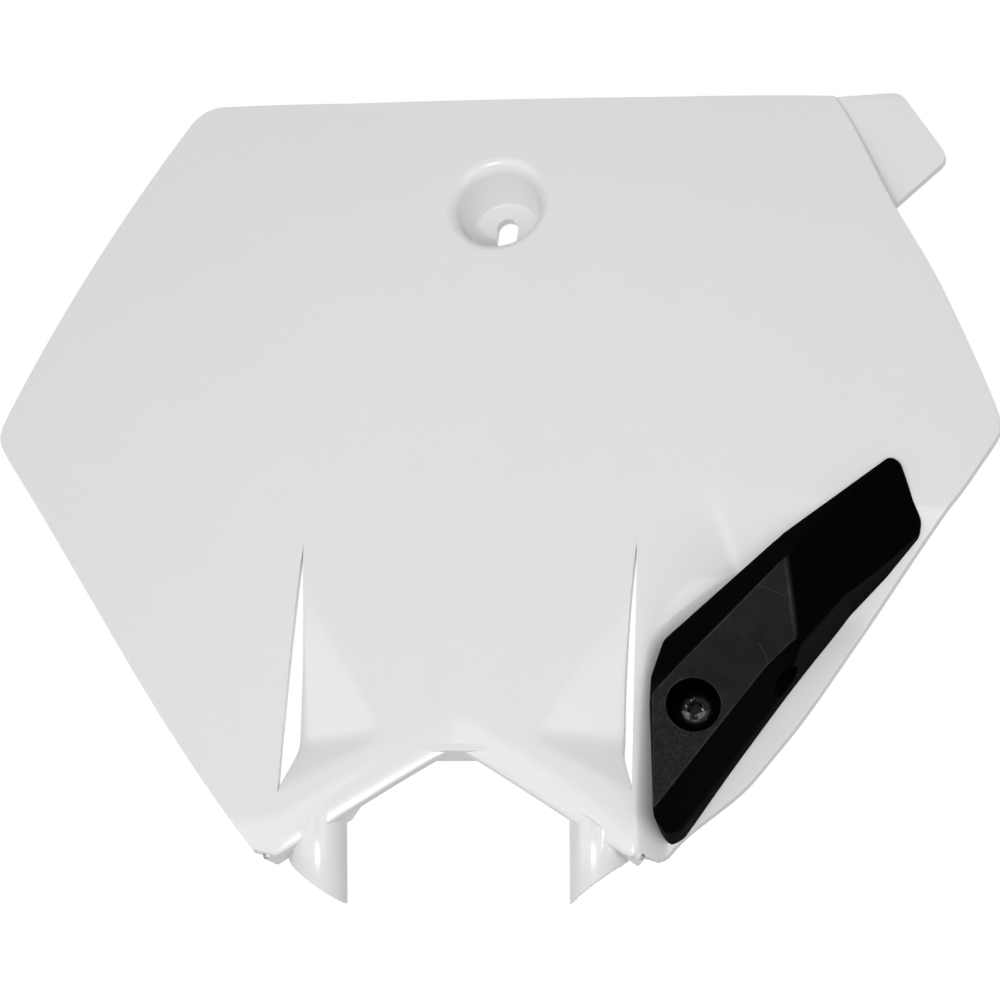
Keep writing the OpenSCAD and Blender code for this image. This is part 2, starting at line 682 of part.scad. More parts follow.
// Way for the hose, in under the upper side of the cover and out of its lower side
hose_z = pocket_z - hose_drop;
module between(a, b, r) {
    d = b - a;
    translate(a) rotate([0, acos(d[2] / norm(d)), atan2(d[1], d[0])]) cylinder(r = r, h = norm(d));
}
hose_x1 = hose_x + hose_slant;
hose_z1 = hose_z - hose_len;
hose_a = [hose_x, base(hose_x, hose_z) + hose_in, hose_z];
hose_b = [hose_x1, base(hose_x1, hose_z1) + hose_out, hose_z1];
module hose_way() {
    between(hose_a, hose_b, hose_r);
}
module hose_sleeve() {
    intersection() {
        cover_form(0, true);
        between(mix(hose_a, hose_b, 0.6), hose_b, hose_r + sleeve_t);
    }
}
module hose_cover() {
    color("black") place() difference() {
        union() {
            difference() {
                cover_form(0, true);
                cover_form(cover_wall, false);
            }
            hose_sleeve();
            intersection() {
                cover_form(0, true);
                back_at(screw_x, screw_z, 0) cylinder(r = sink_r + 0.8 * cover_wall, h = boss_y);
            }
        }
        back_at(screw_x, screw_z, -far) cylinder(r = sink_r, h = head_seat + far);
        back_at(screw_x, screw_z, 0) cylinder(r = screw_r + screw_gap, h = far);
        hose_way();
        board_block();
    }
}

// Screw with a low round head and a six-lobe recess
module cover_screw() {
    color("dimgray") place() back_at(screw_x, screw_z, head_seat - head_h) difference() {
        rotate_extrude() polygon([
            [0, 0], [head_r * 0.55, head_h * 0.03], [head_r * 0.85, head_h * 0.25],
            [head_r, head_h * 0.6], [head_r, head_h], [screw_r, head_h],
            [screw_r, head_h + screw_len - screw_tip], [screw_r * 0.4, head_h + screw_len],
            [0, head_h + screw_len]
        ]);
        translate([0, 0, -bite]) {
            cylinder(r = head_r * 0.34, h = head_h * 0.62 + bite);
            for (a = [0:60:300])
                rotate([0, 0, a]) translate([head_r * 0.38, 0, 0])
                    cylinder(r = head_r * 0.13, h = head_h * 0.62 + bite);
        }
    }
}

board();
hose_cover();
cover_screw();
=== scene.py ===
import math

import bmesh
import bpy
from bpy.props import FloatProperty, FloatVectorProperty, IntProperty, PointerProperty
from mathutils import Matrix, Vector


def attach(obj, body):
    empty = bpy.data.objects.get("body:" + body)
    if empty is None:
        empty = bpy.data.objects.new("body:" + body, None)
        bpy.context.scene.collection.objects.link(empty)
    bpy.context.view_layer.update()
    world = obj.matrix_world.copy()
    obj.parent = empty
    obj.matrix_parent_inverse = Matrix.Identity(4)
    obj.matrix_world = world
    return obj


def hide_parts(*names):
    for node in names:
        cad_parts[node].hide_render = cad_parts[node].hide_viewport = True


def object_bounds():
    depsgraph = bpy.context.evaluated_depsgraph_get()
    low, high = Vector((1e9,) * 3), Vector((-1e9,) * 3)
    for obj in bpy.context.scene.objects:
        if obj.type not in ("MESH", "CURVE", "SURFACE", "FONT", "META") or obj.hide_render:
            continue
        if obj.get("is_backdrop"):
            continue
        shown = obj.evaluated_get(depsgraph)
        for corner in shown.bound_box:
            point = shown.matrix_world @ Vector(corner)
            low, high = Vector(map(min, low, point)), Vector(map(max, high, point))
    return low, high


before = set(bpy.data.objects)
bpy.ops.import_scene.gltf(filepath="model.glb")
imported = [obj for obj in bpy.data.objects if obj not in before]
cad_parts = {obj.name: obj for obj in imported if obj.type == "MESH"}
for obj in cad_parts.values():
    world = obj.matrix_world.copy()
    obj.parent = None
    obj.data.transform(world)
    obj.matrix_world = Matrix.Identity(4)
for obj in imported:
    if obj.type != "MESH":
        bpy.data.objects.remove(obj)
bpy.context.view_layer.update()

bl_info = {
    "name": "Racing Number Board",
    "version": (1, 0, 0),
    "blender": (4, 5, 0),
    "location": "View3D > Sidebar > Number Board",
    "description": "Builds a moulded number board with its hose cover and cover screw",
    "category": "Object",
}

MM = 0.001


def length(name, default, description):
    """A size in metres, written in millimetres."""
    return FloatProperty(
        name=name, default=default * MM, unit="LENGTH", precision=4, description=description
    )


def angle(name, degrees, description):
    return FloatProperty(
        name=name, default=math.radians(degrees), subtype="ANGLE", description=description
    )


def number(name, default, description):
    return FloatProperty(name=name, default=default, description=description)


def colour(name, default, description):
    return FloatVectorProperty(
        name=name, subtype="COLOR", size=3, default=default, description=description
    )


class BoardSizes(bpy.types.PropertyGroup):
    """Sizes of the white board, in its own axes before it leans back"""

    board_w: length("Width", 300.8, "Width across the two side corners")
    side_z: length("Side corner height", -64.6, "Height of the side corners")
    top_w: length("Top width", 191, "Width of the top edge")
    top_z: length("Top height", 35.2, "Height of the top edge at the middle")
    top_rise: length("Top rise", 3.5, "Rise of the top edge at its corners")
    upper_bow: length("Upper bow", 2.6, "Outward bow of the upper side edges")
    lower_bow: length("Lower bow", 2.7, "Outward bow of the lower side edges")
    foot_w: length("Foot width", 116, "Width between the two lower corners")
    foot_z: length("Foot height", -195, "Height of the lower corners")
    foot_low: length("Foot reach", 3, "How far the lower corners reach below their height")
    foot_soft: length("Foot softness", 1.4, "Softness of the lower corners")
    wall: length("Wall", 2.5, "Wall of the moulding")
    curve_x: length("Curve across", 575, "Radius of the face from side to side")
    curve_z: length("Curve down", 900, "Radius of the face from top to bottom")
    corner_soft: length("Corner softness", 2.2, "Softness of the side corners")
    top_corner_r: length("Top corner radius", 5, "Radius of the upper left corner")
    rim_r: length("Rim rounding", 0.75, "Rounding of the rim of the moulding")
    vee_z: length("V height", -165.6, "Height of the point of the V")
    vee_round: length("V rounding", 1.7, "Rounding of the point of the V")
    lip_h: length("Lip height", 11, "Height of the rolled lip along the V")
    lip_drop: length("Lip drop", 2, "How far the lip rolls back at its edge")
    return_x: length("Return half width", 13, "Half of the width of the return at the V")
    return_d: length("Return depth", 9, "Depth of the return behind the face")
    return_t: length("Return thickness", 2.2, "Thickness of the returns and shelves")
    vee_slope: number("V slope", 0.61, "Slope of the arms of the V")
    rake: angle("Rake", 26, "Lean of the board on the bike")


class LouvreSizes(bpy.types.PropertyGroup):
    """Sizes of the slots and their scoops"""

    slot_x: length("Slot place", 48.9, "Half of the distance between the upper slot ends")
    slot_top: length("Slot top", -107, "Height of the upper ends of the slots")
    slot_foot: length("Slot foot", -180, "Height of the lower ends of the slots")
    slot_gap: length("Slot gap", 3.75, "Widest gap of a slot")
    slot_lean: length("Slot lean", 2.6, "Outward lean of the slots over their length")
    scoop_x: length("Scoop end", 17.4, "Half of the width between the inner scoop ends")
    scoop_z: length("Scoop end height", -163.8, "Height of the inner ends of the scoops")
    valley_shift: length("Valley shift", 1.1, "How far the valley starts outside the slot")
    crease: length("Crease", 6, "Softness of the creases")
    ridge_soft: length("Ridge softness", 0.35, "Softness of the ridge under the scoop")
    scoop_slope: number("Scoop slope", 0.295, "Slope of the scoops")
    valley_slope: number("Valley slope", 0.53, "Slope of the wall under the scoop")


class FittingSizes(bpy.types.PropertyGroup):
    """Sizes of the cup, the tab, the lugs and the hose pocket"""

    cup_mouth_r: length("Cup mouth radius", 12.2, "Radius of the cup inside its rounding")
    cup_floor_r: length("Cup floor radius", 9, "Radius of the floor of the cup")
    cup_depth: length("Cup depth", 14.5, "Depth of the cup")
    cup_drop: length("Cup drop", 2.4, "How far the floor lies below the mouth")
    cup_round: length("Cup rounding", 4.5, "Rounding of the mouth of the cup")
    cup_floor_t: length("Cup floor", 3, "Thickness of the floor of the cup")
    cup_corner: length("Cup corner", 1.1, "Rounding between the wall and the floor of the cup")
    fix_w: length("Slotted hole width", 6.3, "Width of the slotted hole")
    fix_len: length("Slotted hole length", 10, "Length of the slotted hole")
    tab_x: length("Tab reach", 33.5, "Reach of the tab past the top corner")
    tab_rise: length("Tab rise", 3, "Rise of the tab over the corner of the top edge")
    tab_slant: length("Tab slant", 15, "Width of the slanted end of the tab")
    tab_side: length("Tab side", 16.6, "Height of the slanted end of the tab")
    tab_corner_r: length("Tab corner radius", 3.8, "Rounding of the corners of the tab")
    tab_step_top: length("Step at the top", 0.7, "Depth of the step at the top edge")
    tab_step_foot: length("Step at the notch", 4.5, "Depth of the step at the notch")
    tab_foot_z: length("Notch height", 5.6, "Height of the notch under the tab")
    notch_in: length("Notch draw", 1.5, "How far the right edge draws in at the notch")
    notch_len: length("Notch length", 28, "Length over which it draws in")
    lug_x: length("Lug place", 40.9, "Distance of each lug from the middle")
    lug_r: length("Lug radius", 8.5, "Outer radius of the half-round lugs")
    lug_t: length("Lug wall", 2.2, "Wall of the lugs")
    lug_len: length("Lug length", 17.5, "Length of the inner side of a lug")
    lug_back: length("Lug depth", 10.5, "How far the lug axis lies behind the face")
    shelf_reach: length("Shelf reach", 5.5, "How far a shelf reaches past its lug")
    shelf_rise: length("Shelf rise", 3.2, "How far the back of a shelf rises over its front")
    lug_cut: angle("Lug cut", 36, "Angle of the cut across the ends of the lugs")
    pocket_x: length("Pocket side", 52.5, "Side of the pocket next to the slot")
    pocket_z: length("Pocket top", -88, "Height where the pocket starts")
    pocket_d: length("Pocket depth", 10, "Depth of the pocket under the cover")
    pocket_w: length("Pocket side width", 25.5, "Width over which the side of the pocket falls")
    pocket_len: length("Pocket side length", 52, "Length of the falling side of the pocket")
    ramp_soft: length("Ramp softness", 3, "Softness at the top of the ramp")
    pocket_flare: length("Upper flare", 2.6, "Extra width beside the top of the pocket")
    pocket_spread: length("Lower flare", 2.5, "Further extra width beside its lower end")
    pocket_ramp: number("Ramp", 0.3, "Slope of the ramp into the pocket")


class CoverSizes(bpy.types.PropertyGroup):
    """Sizes of the hose cover"""

    tip_x: length("Tip place", 60, "Sideways place of the lower tip of the cover")
    tip_z: length("Tip height", -189, "Height of the lower tip of the cover")
    span: length("Length", 119, "Length of the cover")
    width: length("Width", 36, "Width of the cover")
    turn: angle("Turn", 55, "Lean of the long side of the cover, from level")
    wall: length("Wall", 2, "Wall of the cover")
    edge_r: length("Edge rounding", 1, "Rounding of the outer edges")
    corner_r: length("Corner rounding", 1.3, "Rounding of the corners of the rim")
    facet_soft: length("Facet softness", 0.5, "Softness of the edges of the raised facet")
    height: length("Height", 8, "Height of the raised facet over the board")
    gap: length("Gap", 0.3, "Gap between the cover and the board")
    facet_x: number("Facet slope across", 0.175, "Slope of the facet to the side")
    facet_z: number("Facet slope along", -0.185, "Slope of the facet up the board")
    hose_r: length("Hose way radius", 3.5, "Radius of the way for the hose")
    hose_x: length("Hose place", 88.5, "Sideways place of the upper end of that way")
    hose_drop: length("Hose drop", 12, "How far its upper end lies under the pocket's top")
    hose_len: length("Hose way length", 48, "Length of that way")
    hose_slant: length("Hose slant", 4.5, "Sideways slant of that way over its length")
    hose_in: length("Hose depth in", 0.8, "Depth of its middle at the upper end")
    hose_out: length("Hose depth out", 3.2, "Depth of its middle at the lower end")
    sleeve_t: length("Sleeve wall", 1.2, "Wall of the sleeve round its lower end")
    sink_r: length("Sunk hole radius", 7.6, "Radius of the sunk hole round the screw head")
    sink_round: length("Sunk hole rounding", 0.5, "Rounding of the rim of the sunk hole")


class ScrewSizes(bpy.types.PropertyGroup):
    """Sizes of the cover screw and of its boss"""

    place_x: length("Screw place", 69.1, "Sideways place of the cover screw")
    place_z: length("Screw height", -156.5, "Height of the cover screw")
    head_r: length("Head radius", 5, "Radius of the head")
    head_h: length("Head height", 3.2, "Height of the head")
    shank_r: length("Shank radius", 2.5, "Radius of the shank over its thread")
    shank_len: length("Shank length", 14, "Length of the shank under the head")
    tip_len: length("Tip length", 3, "Length of the point of the screw")
    pitch: length("Thread pitch", 1.6, "Pitch of the thread")
    thread_d: length("Thread depth", 0.45, "Depth of the thread")
    recess_r: length("Recess radius", 2.1, "Middle radius of the recess")
    recess_d: length("Recess depth", 2, "Depth of the recess")
    lobe: number("Lobe share", 0.19, "Depth of the lobes as a share of the recess radius")
    lobes: IntProperty(name="Lobes", default=6, min=3, description="Number of lobes")
    hole_gap: length("Clearance", 0.15, "Clearance of the shank in its holes")
    boss_r: length("Boss radius", 5, "Radius of the boss on the board")
    boss_low: length("Boss drop", 1, "How far the boss ends under the line of the face")
    boss_tail: length("Boss tail", 2.5, "How far the boss stands out behind the board")
    seat_t: length("Seat thickness", 2.8, "Thickness of the cover under the screw head")


class Finishes(bpy.types.PropertyGroup):
    """Colours and gloss of the finishes"""

    white: colour("White", (0.79, 0.805, 0.797), "Colour of the board")
    gloss: number("Gloss", 0.17, "Roughness of the white plastic")
    black: colour("Black", (0.0006, 0.0006, 0.0007), "Colour of the cover")
    # Also the colour of the painted sheen on the cover's facet and of the painted highlights along
    # its edge
    scuffs_and_sheen: colour("Scuffed", (0.05, 0.051, 0.053), "Colour of scuffs on the cover")
    steel: colour("Steel", (0.004, 0.004, 0.0045), "Colour of the screw")


class StudioSettings(bpy.types.PropertyGroup):
    """Camera, lamps and floor"""

    lens: number("Lens", 252.5, "Focal length in millimetres")
    distance: length("Camera distance", 2000.6, "Camera distance from the aim point")
    yaw: angle("Yaw", 14.401, "Camera to the right of the board's middle")
    dip: angle("Dip", 26.018, "Camera below the normal of the board's face")
    roll: angle("Roll", 5.939, "Camera roll")
    key: FloatProperty(
        name="Key", default=21, unit="POWER", description="Power that each lamp takes a share of"
    )
    ambient: number("Ambient", 0.4, "Light from all around")
    floor_drop: length("Floor drop", 120, "Gap between the board and the floor")


# Plain helpers for outlines


def mix(a, b, u):
    return a + (b - a) * u


def clamp(v, low=0.0, high=1.0):
    return min(max(v, low), high)


def ease(u):
    u = clamp(u)
    return u * u * (3 - 2 * u)


def smooth_min(a, b, k):
    return min(a, b) - k * math.log(1 + math.exp(-abs(a - b) / k))


def bowed(u, bow):
    return 4 * bow * u * (1 - u)


def curve_point(a, b, c, u):
    """A point on the curve from a to c that bends at b."""
    return a.lerp(b, u).lerp(b.lerp(c, u), u)


def toward(a, b, d):
    return a + (b - a).normalized() * d


def inset(outline, d):
    """Moves the sides of a closed outline inwards; the outline runs clockwise."""
    points = [Vector(p) for p in outline]
    normals = []
    for a, b in zip(points, points[1:] + points[:1]):
        way = (b - a).normalized()
        normals.append(Vector((way.y, -way.x)))
    before = normals[-1:] + normals[:-1]
    return [p + (m + n) * d / (1 + m.dot(n)) for p, m, n in zip(points, before, normals)]


def shares(count):
    """Even steps from 0 to 1."""
    return [i / count for i in range(count + 1)]


def arc(steps, start, end):
    return [math.radians(mix(start, end, u)) for u in shares(steps)]


def circle(count):
    """Angles of evenly spaced points all round."""
    return [2 * math.pi * i / count for i in range(count)]


# Start and length of the rise of the two flares beside the pocket and of their end, as
# shares of the height of the lower side
UPPER_FLARE, LOWER_FLARE, FLARE_END = (0, 0.184), (0.41, 0.307), (0.808, 0.153)
# How the slots bend outwards and how fast they open and close, over their length
SLOT_BEND, SLOT_OPENS, SLOT_CLOSES = 0.7, 0.8, 0.19


class BoardShape:
    """The board's outline and depth, worked out from its sizes"""

    def __init__(self, scene):
        self.b = scene.board_sizes
        self.v = scene.louvre_sizes
        self.f = scene.fitting_sizes
        self.s = scene.screw_sizes
        self.side_x = self.b.board_w / 2
        self.top_x = self.b.top_w / 2
        self.foot_x = self.b.foot_w / 2
        self.corner_z = self.top(self.top_x)
        self.seat_y = self.f.cup_depth + self.f.cup_floor_t
        self.screw_face = self.base(self.s.place_x, self.s.place_z)
        self.boss_y = self.screw_face + self.s.boss_low
        self.head_seat = self.boss_y - self.s.seat_t

    def top(self, x):
        return self.b.top_z + self.b.top_rise * (x / self.top_x) ** 2

    def foot(self, x):
        vee = math.hypot(self.b.vee_slope * x, self.b.vee_round) - self.b.vee_z
        return -smooth_min(vee, self.b.foot_low - self.b.foot_z, self.b.foot_soft)

    def base(self, x, z):
        return x * x / (2 * self.b.curve_x) + z * z / (2 * self.b.curve_z)

    def low_share(self, z):
        return (self.b.side_z - z) / (self.b.side_z - self.b.foot_z)

    def upper_edge(self, z):
        u = (self.corner_z - z) / (self.corner_z - self.b.side_z)
        return mix(self.top_x, self.side_x, u) + bowed(clamp(u, -0.1, 1.2), self.b.upper_bow)

    def lower_edge(self, z):
        u = self.low_share(z)
        return mix(self.side_x, self.foot_x, u) + bowed(clamp(u) ** 2, self.b.lower_bow)

    def edge(self, z):
        return smooth_min(self.upper_edge(z), self.lower_edge(z), self.b.corner_soft)

    def edge_left(self, z):
        r = self.b.top_corner_r
        q = clamp((z - self.corner_z + r) / r)
        return self.edge(z) - r * (1 - math.sqrt(1 - q * q))

    def edge_right(self, z):
        f, u = self.f, self.low_share(z)
        upper, lower, end = [ease((u - a) / d) for a, d in (UPPER_FLARE, LOWER_FLARE, FLARE_END)]
        flare = (f.pocket_flare * upper + f.pocket_spread * lower) * (1 - end)
        return self.edge(z) + flare - f.notch_in * ease(1 - abs(z - f.tab_foot_z) / f.notch_len)

    def slot_share(self, z):
        return clamp((self.v.slot_top - z) / (self.v.slot_top - self.v.slot_foot))

    def slot_outer(self, z):
        return self.v.slot_x + self.v.slot_lean * self.slot_share(z) ** SLOT_BEND

    def slot_inner(self, z):
        u = self.slot_share(z)
        opening = min(1 - (1 - clamp(u / SLOT_OPENS)) ** 2, ease((1 - u) / SLOT_CLOSES))
        return self.slot_outer(z) - self.v.slot_gap * opening

    def leaned(self):
        """Turns the board's own axes into the frame's."""
        lean = Matrix.Rotation(-self.b.rake, 4, "X")
        return lean @ Matrix.Translation((0, -self.seat_y, self.f.cup_drop))


# The cover's rim as shares of its length and width from the lower tip, then the height
# of the upper end of its wall, as a share of the pocket's depth behind the face or of
# the facet's height before it, then the place along the facet's edge
COVER_RIM = (
    (1.056, 0.437, -0.26, 0.0),
    (1.061, 0.359, -0.2, 0.1),
    (0.979, -0.05, 0.02, 0.8),
    (0.948, -0.106, 0.06, 0.88),
    (0.827, -0.079, -0.12, 0.94),
    (0.701, -0.022, -0.44, 0.97),
    (0.545, -0.027, -0.69, 1.0),
    (0.468, -0.033, 0.4, 1.4),
    (0.415, -0.039, 0.6, 2.0),
    (0.226, -0.064, 0.6, 2.42),
    (0.082, -0.088, 0.5, 2.8),
    (0.032, -0.096, 0.4, 2.92),
    (0.001, -0.045, 0.2, 2.97),
    (0.004, 0.056, -0.38, 3.0),
    (0.21, 0.608, -0.75, 4.0),
    (0.266, 0.752, -0.5, 4.1),
    (0.358, 0.876, -0.28, 4.25),
    (0.742, 0.68, -0.28, 4.95),
)
# Corners of its raised facet, as shares in the same way
COVER_FACET = ((0.678, 0.474), (0.54, 0.026), (0.447, 0.062), (0.011, 0.049), (0.23, 0.61))


# Most of a side that the rounding of a corner of the rim takes up
CORNER_MOST = 0.45


class CoverShape:
    """The hose cover's rim, facet and closed forms, worked out from its sizes"""

    def __init__(self, scene):
        self.board = BoardShape(scene)
        self.c = scene.cover_sizes
        heights = (self.c.height, self.board.f.pocket_d)
        self.rim = [
            Vector((*self.place(u, v), high * heights[high > 0], k))
            for u, v, high, k in COVER_RIM
        ]
        self.facet = [self.place(u, v) for u, v in COVER_FACET]
        self.corner = self.facet[4]

    def place(self, along, across):
        c = self.c
        u, v = along * c.span, across * c.width
        x = c.tip_x + u * math.cos(c.turn) - v * math.sin(c.turn)
        return (x, c.tip_z + u * math.sin(c.turn) + v * math.cos(c.turn))

    def facet_y(self, x, z):
        c, (x0, z0) = self.c, self.corner
        level = self.board.base(x0, z0) - c.height
        return level + c.facet_x * (x - x0) + c.facet_z * (z - z0)

    def softened_rim(self):
        """The rim with a short curve at each corner; its fourth value runs on past the start."""
        points = []
        for i, here in enumerate(self.rim):
            before, after = self.rim[i - 1].copy(), self.rim[(i + 1) % len(self.rim)].copy()
            before[3] -= len(self.facet) * (i == 0)
            after[3] += len(self.facet) * (i == len(self.rim) - 1)
            ends = []
            for other in (before, after):
                gap = (other - here).xy.length
                ends.append(here + (other - here) * min(CORNER_MOST, self.c.corner_r / gap))
            points += [curve_point(ends[0], here, ends[1], u) for u in shares(4)]
        return points

    def form(self, name, inwards, fine):
        """One closed form of the cover, moved inwards; the fine one has rounded edges."""
        c = self.c
        rim = self.softened_rim() if fine else self.rim
        plan = inset([p.xy for p in rim], inwards) if inwards else [p.xy for p in rim]
        facet, small = inset(self.facet, inwards), inset(self.facet, inwards + c.facet_soft)

        def on_facet(outline, k):
            i = math.floor(k)
            a, b = outline[i % len(outline)], outline[(i + 1) % len(outline)]
            x, z = a.lerp(b, k - i)
            return Vector((x, self.facet_y(x, z) + inwards, z))

        edge = [
            Vector((x, self.board.base(x, z) + p[2] + inwards, z))
            for (x, z), p in zip(plan, rim)
        ]
        deep_y = self.board.screw_face + 2 * self.board.f.pocket_d + c.height
        deep = [Vector((p.x, deep_y, p.z)) for p in edge]
        brow = [on_facet(facet, p[3]) for p in rim]
        crown = [on_facet(small, p[3]) for p in rim]
        if not fine:
            return lofted(name, [brow, edge, deep])
        rings = []
        high = [toward(b, e, c.facet_soft) for b, e in zip(brow, edge)]
        low = [toward(e, b, c.edge_r) for b, e in zip(brow, edge)]
        drop = Vector((0, c.edge_r, 0))
        for u in shares(4):
            rings.append([curve_point(*marks, u) for marks in zip(crown, brow, high)])
        for u in shares(5)[1:-1]:
            rings.append([a.lerp(b, u) for a, b in zip(high, low)])
        for u in shares(5):
            rings.append([curve_point(a, e, e + drop, u) for a, e in zip(low, edge)])
        return lofted(name, rings + [deep])

    def hose_ends(self):
        c, top = self.c, self.board.f.pocket_z - self.c.hose_drop
        ends = []
        for x, z, behind in (
            (c.hose_x, top, c.hose_in),
            (c.hose_x + c.hose_slant, top - c.hose_len, c.hose_out),
        ):
            ends.append(Vector((x, self.board.base(x, z) + behind, z)))
        return ends


# Node trees


class Wire:
    """A socket of a node tree, so that maths on it reads as a plain expression"""

    def __init__(self, nodes, socket):
        self.nodes = nodes
        self.socket = socket

    def math(self, operation, *values):
        return self.nodes.node("ShaderNodeMath", {"operation": operation}, dict(enumerate(values)))

    def __add__(self, other):
        return self.math("ADD", self, other)

    __radd__ = __add__

    def __sub__(self, other):
        return self.math("SUBTRACT", self, other)

    def __rsub__(self, other):
        return self.math("SUBTRACT", other, self)

    def __mul__(self, other):
        return self.math("MULTIPLY", self, other)

    __rmul__ = __mul__

    def __truediv__(self, other):
        return self.math("DIVIDE", self, other)

    def __rtruediv__(self, other):
        return self.math("DIVIDE", other, self)

    def __pow__(self, other):
        return self.math("POWER", self, other)

    def __neg__(self):
        return self.math("MULTIPLY", self, -1.0)

    def __abs__(self):
        return self.math("ABSOLUTE", self)

    def __gt__(self, other):
        return self.math("GREATER_THAN", self, other)

    def __lt__(self, other):
        return self.math("LESS_THAN", self, other)

    def least(self, other):
        return self.math("MINIMUM", self, other)

    def most(self, other):
        return self.math("MAXIMUM", self, other)

    def held(self, low=0.0, high=1.0):
        return self.most(low).least(high)

    def eased(self):
        u = self.held()
        return u * u * (3 - 2 * u)

    def smooth_least(self, other, k):
        spread = self.math("EXPONENT", -abs(self - other) / k)
        return self.least(other) - self.math("LOGARITHM", spread + 1, math.e) * k

    def rising(self, k):
        """Zero below zero, then a soft start over k into a line of slope one."""
        start = self.held(0.0, k)
        return start * start / (2 * k) + (self - k).most(0.0)

    def mixed(self, a, b):
        return self.nodes.node("ShaderNodeMix", {"data_type": "RGBA"}, {0: self, 6: a, 7: b}, 2)


class Nodes:
    """A node tree that is being filled"""

    def __init__(self, tree):
        self.tree = tree

    def node(self, kind, settings=None, inputs=None, output=0):
        """Adds a node, sets it, fills or links its sockets and gives one output."""
        node = self.tree.nodes.new(kind)
        for name, value in (settings or {}).items():
            setattr(node, name, value)
        for key, value in (inputs or {}).items():
            wires = value if isinstance(value, list) else [value]
            if isinstance(wires[0], Wire):
                for wire in wires:
                    self.tree.links.new(wire.socket, node.inputs[key])
            else:
                node.inputs[key].default_value = value
        return Wire(self, node.outputs[output]) if node.outputs else node

    def attributes(self, *layers):
        """Numbers that are stored on each point."""
        kind = {"data_type": "FLOAT"}
        return [
            self.node("GeometryNodeInputNamedAttribute", kind, {"Name": layer}) for layer in layers
        ]

    def place(self):
        """The place of each point along the three axes."""
        parts = self.tree.nodes.new("ShaderNodeSeparateXYZ")
        self.tree.links.new(self.node("GeometryNodeInputPosition").socket, parts.inputs[0])
        return [Wire(self, each) for each in parts.outputs]

    def moved(self, geometry, x, y, z):
        """The geometry with its points in new places."""
        spot = self.node("ShaderNodeCombineXYZ", inputs={0: x, 1: y, 2: z})
        inputs = {"Geometry": geometry, "Position": spot}
        return self.node("GeometryNodeSetPosition", inputs=inputs)


def geometry_tree(name, sizes):
    """A Geometry Nodes tree with one named input for each size."""
    tree = bpy.data.node_groups.new(name, "GeometryNodeTree")
    tree.interface.new_socket("Geometry", in_out="INPUT", socket_type="NodeSocketGeometry")
    tree.interface.new_socket("Geometry", in_out="OUTPUT", socket_type="NodeSocketGeometry")
    for size, value in sizes.items():
        kind = "NodeSocketInt" if isinstance(value, int) else "NodeSocketFloat"
        tree.interface.new_socket(size, in_out="INPUT", socket_type=kind)
    nodes = Nodes(tree)
    entry = tree.nodes.new("NodeGroupInput")
    wires = {socket.name: Wire(nodes, socket) for socket in entry.outputs if socket.name}
    return nodes, wires


def end_geometry(nodes, geometry, material):
    """Every geometry tree ends in Realize Instances and Set Material."""
    real = nodes.node("GeometryNodeRealizeInstances", inputs={0: geometry})
    done = nodes.node("GeometryNodeSetMaterial", inputs={0: real, "Material": material})
    nodes.node("NodeGroupOutput", inputs={0: done})


def run_tree(mesh, nodes, sizes, name):
    """Runs a tree on a mesh and gives the result as a new plain mesh."""
    holder = bpy.data.objects.new(name, mesh)
    bpy.context.scene.collection.objects.link(holder)
    modifier = holder.modifiers.new(name, "NODES")
    modifier.node_group = nodes.tree
    for item in nodes.tree.interface.items_tree:
        if item.in_out == "INPUT" and item.name in sizes:
            modifier[item.identifier] = sizes[item.name]
    result = evaluated_mesh(holder, name)
    bpy.data.objects.remove(holder)
    return result


def evaluated_mesh(holder, name):
    graph = bpy.context.evaluated_depsgraph_get()
    graph.update()
    mesh = bpy.data.meshes.new_from_object(holder.evaluated_get(graph), depsgraph=graph)
    mesh.name = name
    return mesh


# Mesh helpers


def mesh_of(name, points, faces):
    mesh = bpy.data.meshes.new(name)
    mesh.from_pydata([tuple(p) for p in points], [], faces)
    mesh.validate()
    return mesh


def recalculated(mesh):
    work = bmesh.new()
    work.from_mesh(mesh)
    bmesh.ops.remove_doubles(work, verts=work.verts, dist=1e-7)
    bmesh.ops.recalc_face_normals(work, faces=work.faces)
    work.to_mesh(mesh)
    work.free()
    return mesh


def lofted(name, rings):
    """A closed solid through rings that have the same number of points."""
    count = len(rings[0])
    points = [p for ring in rings for p in ring]
    faces = [tuple(range(count)), tuple(range(len(points) - 1, len(points) - count - 1, -1))]
    for j in range(len(rings) - 1):
        for i in range(count):
            a, b = j * count + i, j * count + (i + 1) % count
            faces.append((a, a + count, b + count, b))
    return recalculated(mesh_of(name, points, faces))


def grid_faces(rows, columns):
    """The cells of a grid of points, row by row."""
    starts = [j * columns + i for j in range(rows - 1) for i in range(columns - 1)]
    return [(a, a + 1, a + columns + 1, a + columns) for a in starts]


def sheet_solid(name, grid, wall):
    """A closed solid from a grid of front points, with its back a wall behind."""
    rows, columns = len(grid), len(grid[0])
    front = [Vector(p) for row in grid for p in row]
    back = [p + Vector((0, wall, 0)) for p in front]
    shift = len(front)
    faces = []
    for quad in grid_faces(rows, columns):
        faces += [quad, tuple(k + shift for k in reversed(quad))]
    around = list(range(columns))
    around += [j * columns + columns - 1 for j in range(1, rows)]
    around += [(rows - 1) * columns + i for i in range(columns - 2, -1, -1)]
    around += [j * columns for j in range(rows - 2, 0, -1)]
    for a, b in zip(around, around[1:] + around[:1]):
        faces.append((b, a, a + shift, b + shift))
    return recalculated(mesh_of(name, front + back, faces))


def turned_back(mesh, x, z, y=0.0):
    """Turns a mesh drawn along Z so that it runs back through the board."""
    mesh.transform(Matrix.Translation((x, y, z)) @ Matrix.Rotation(-math.pi / 2, 4, "X"))
    return mesh


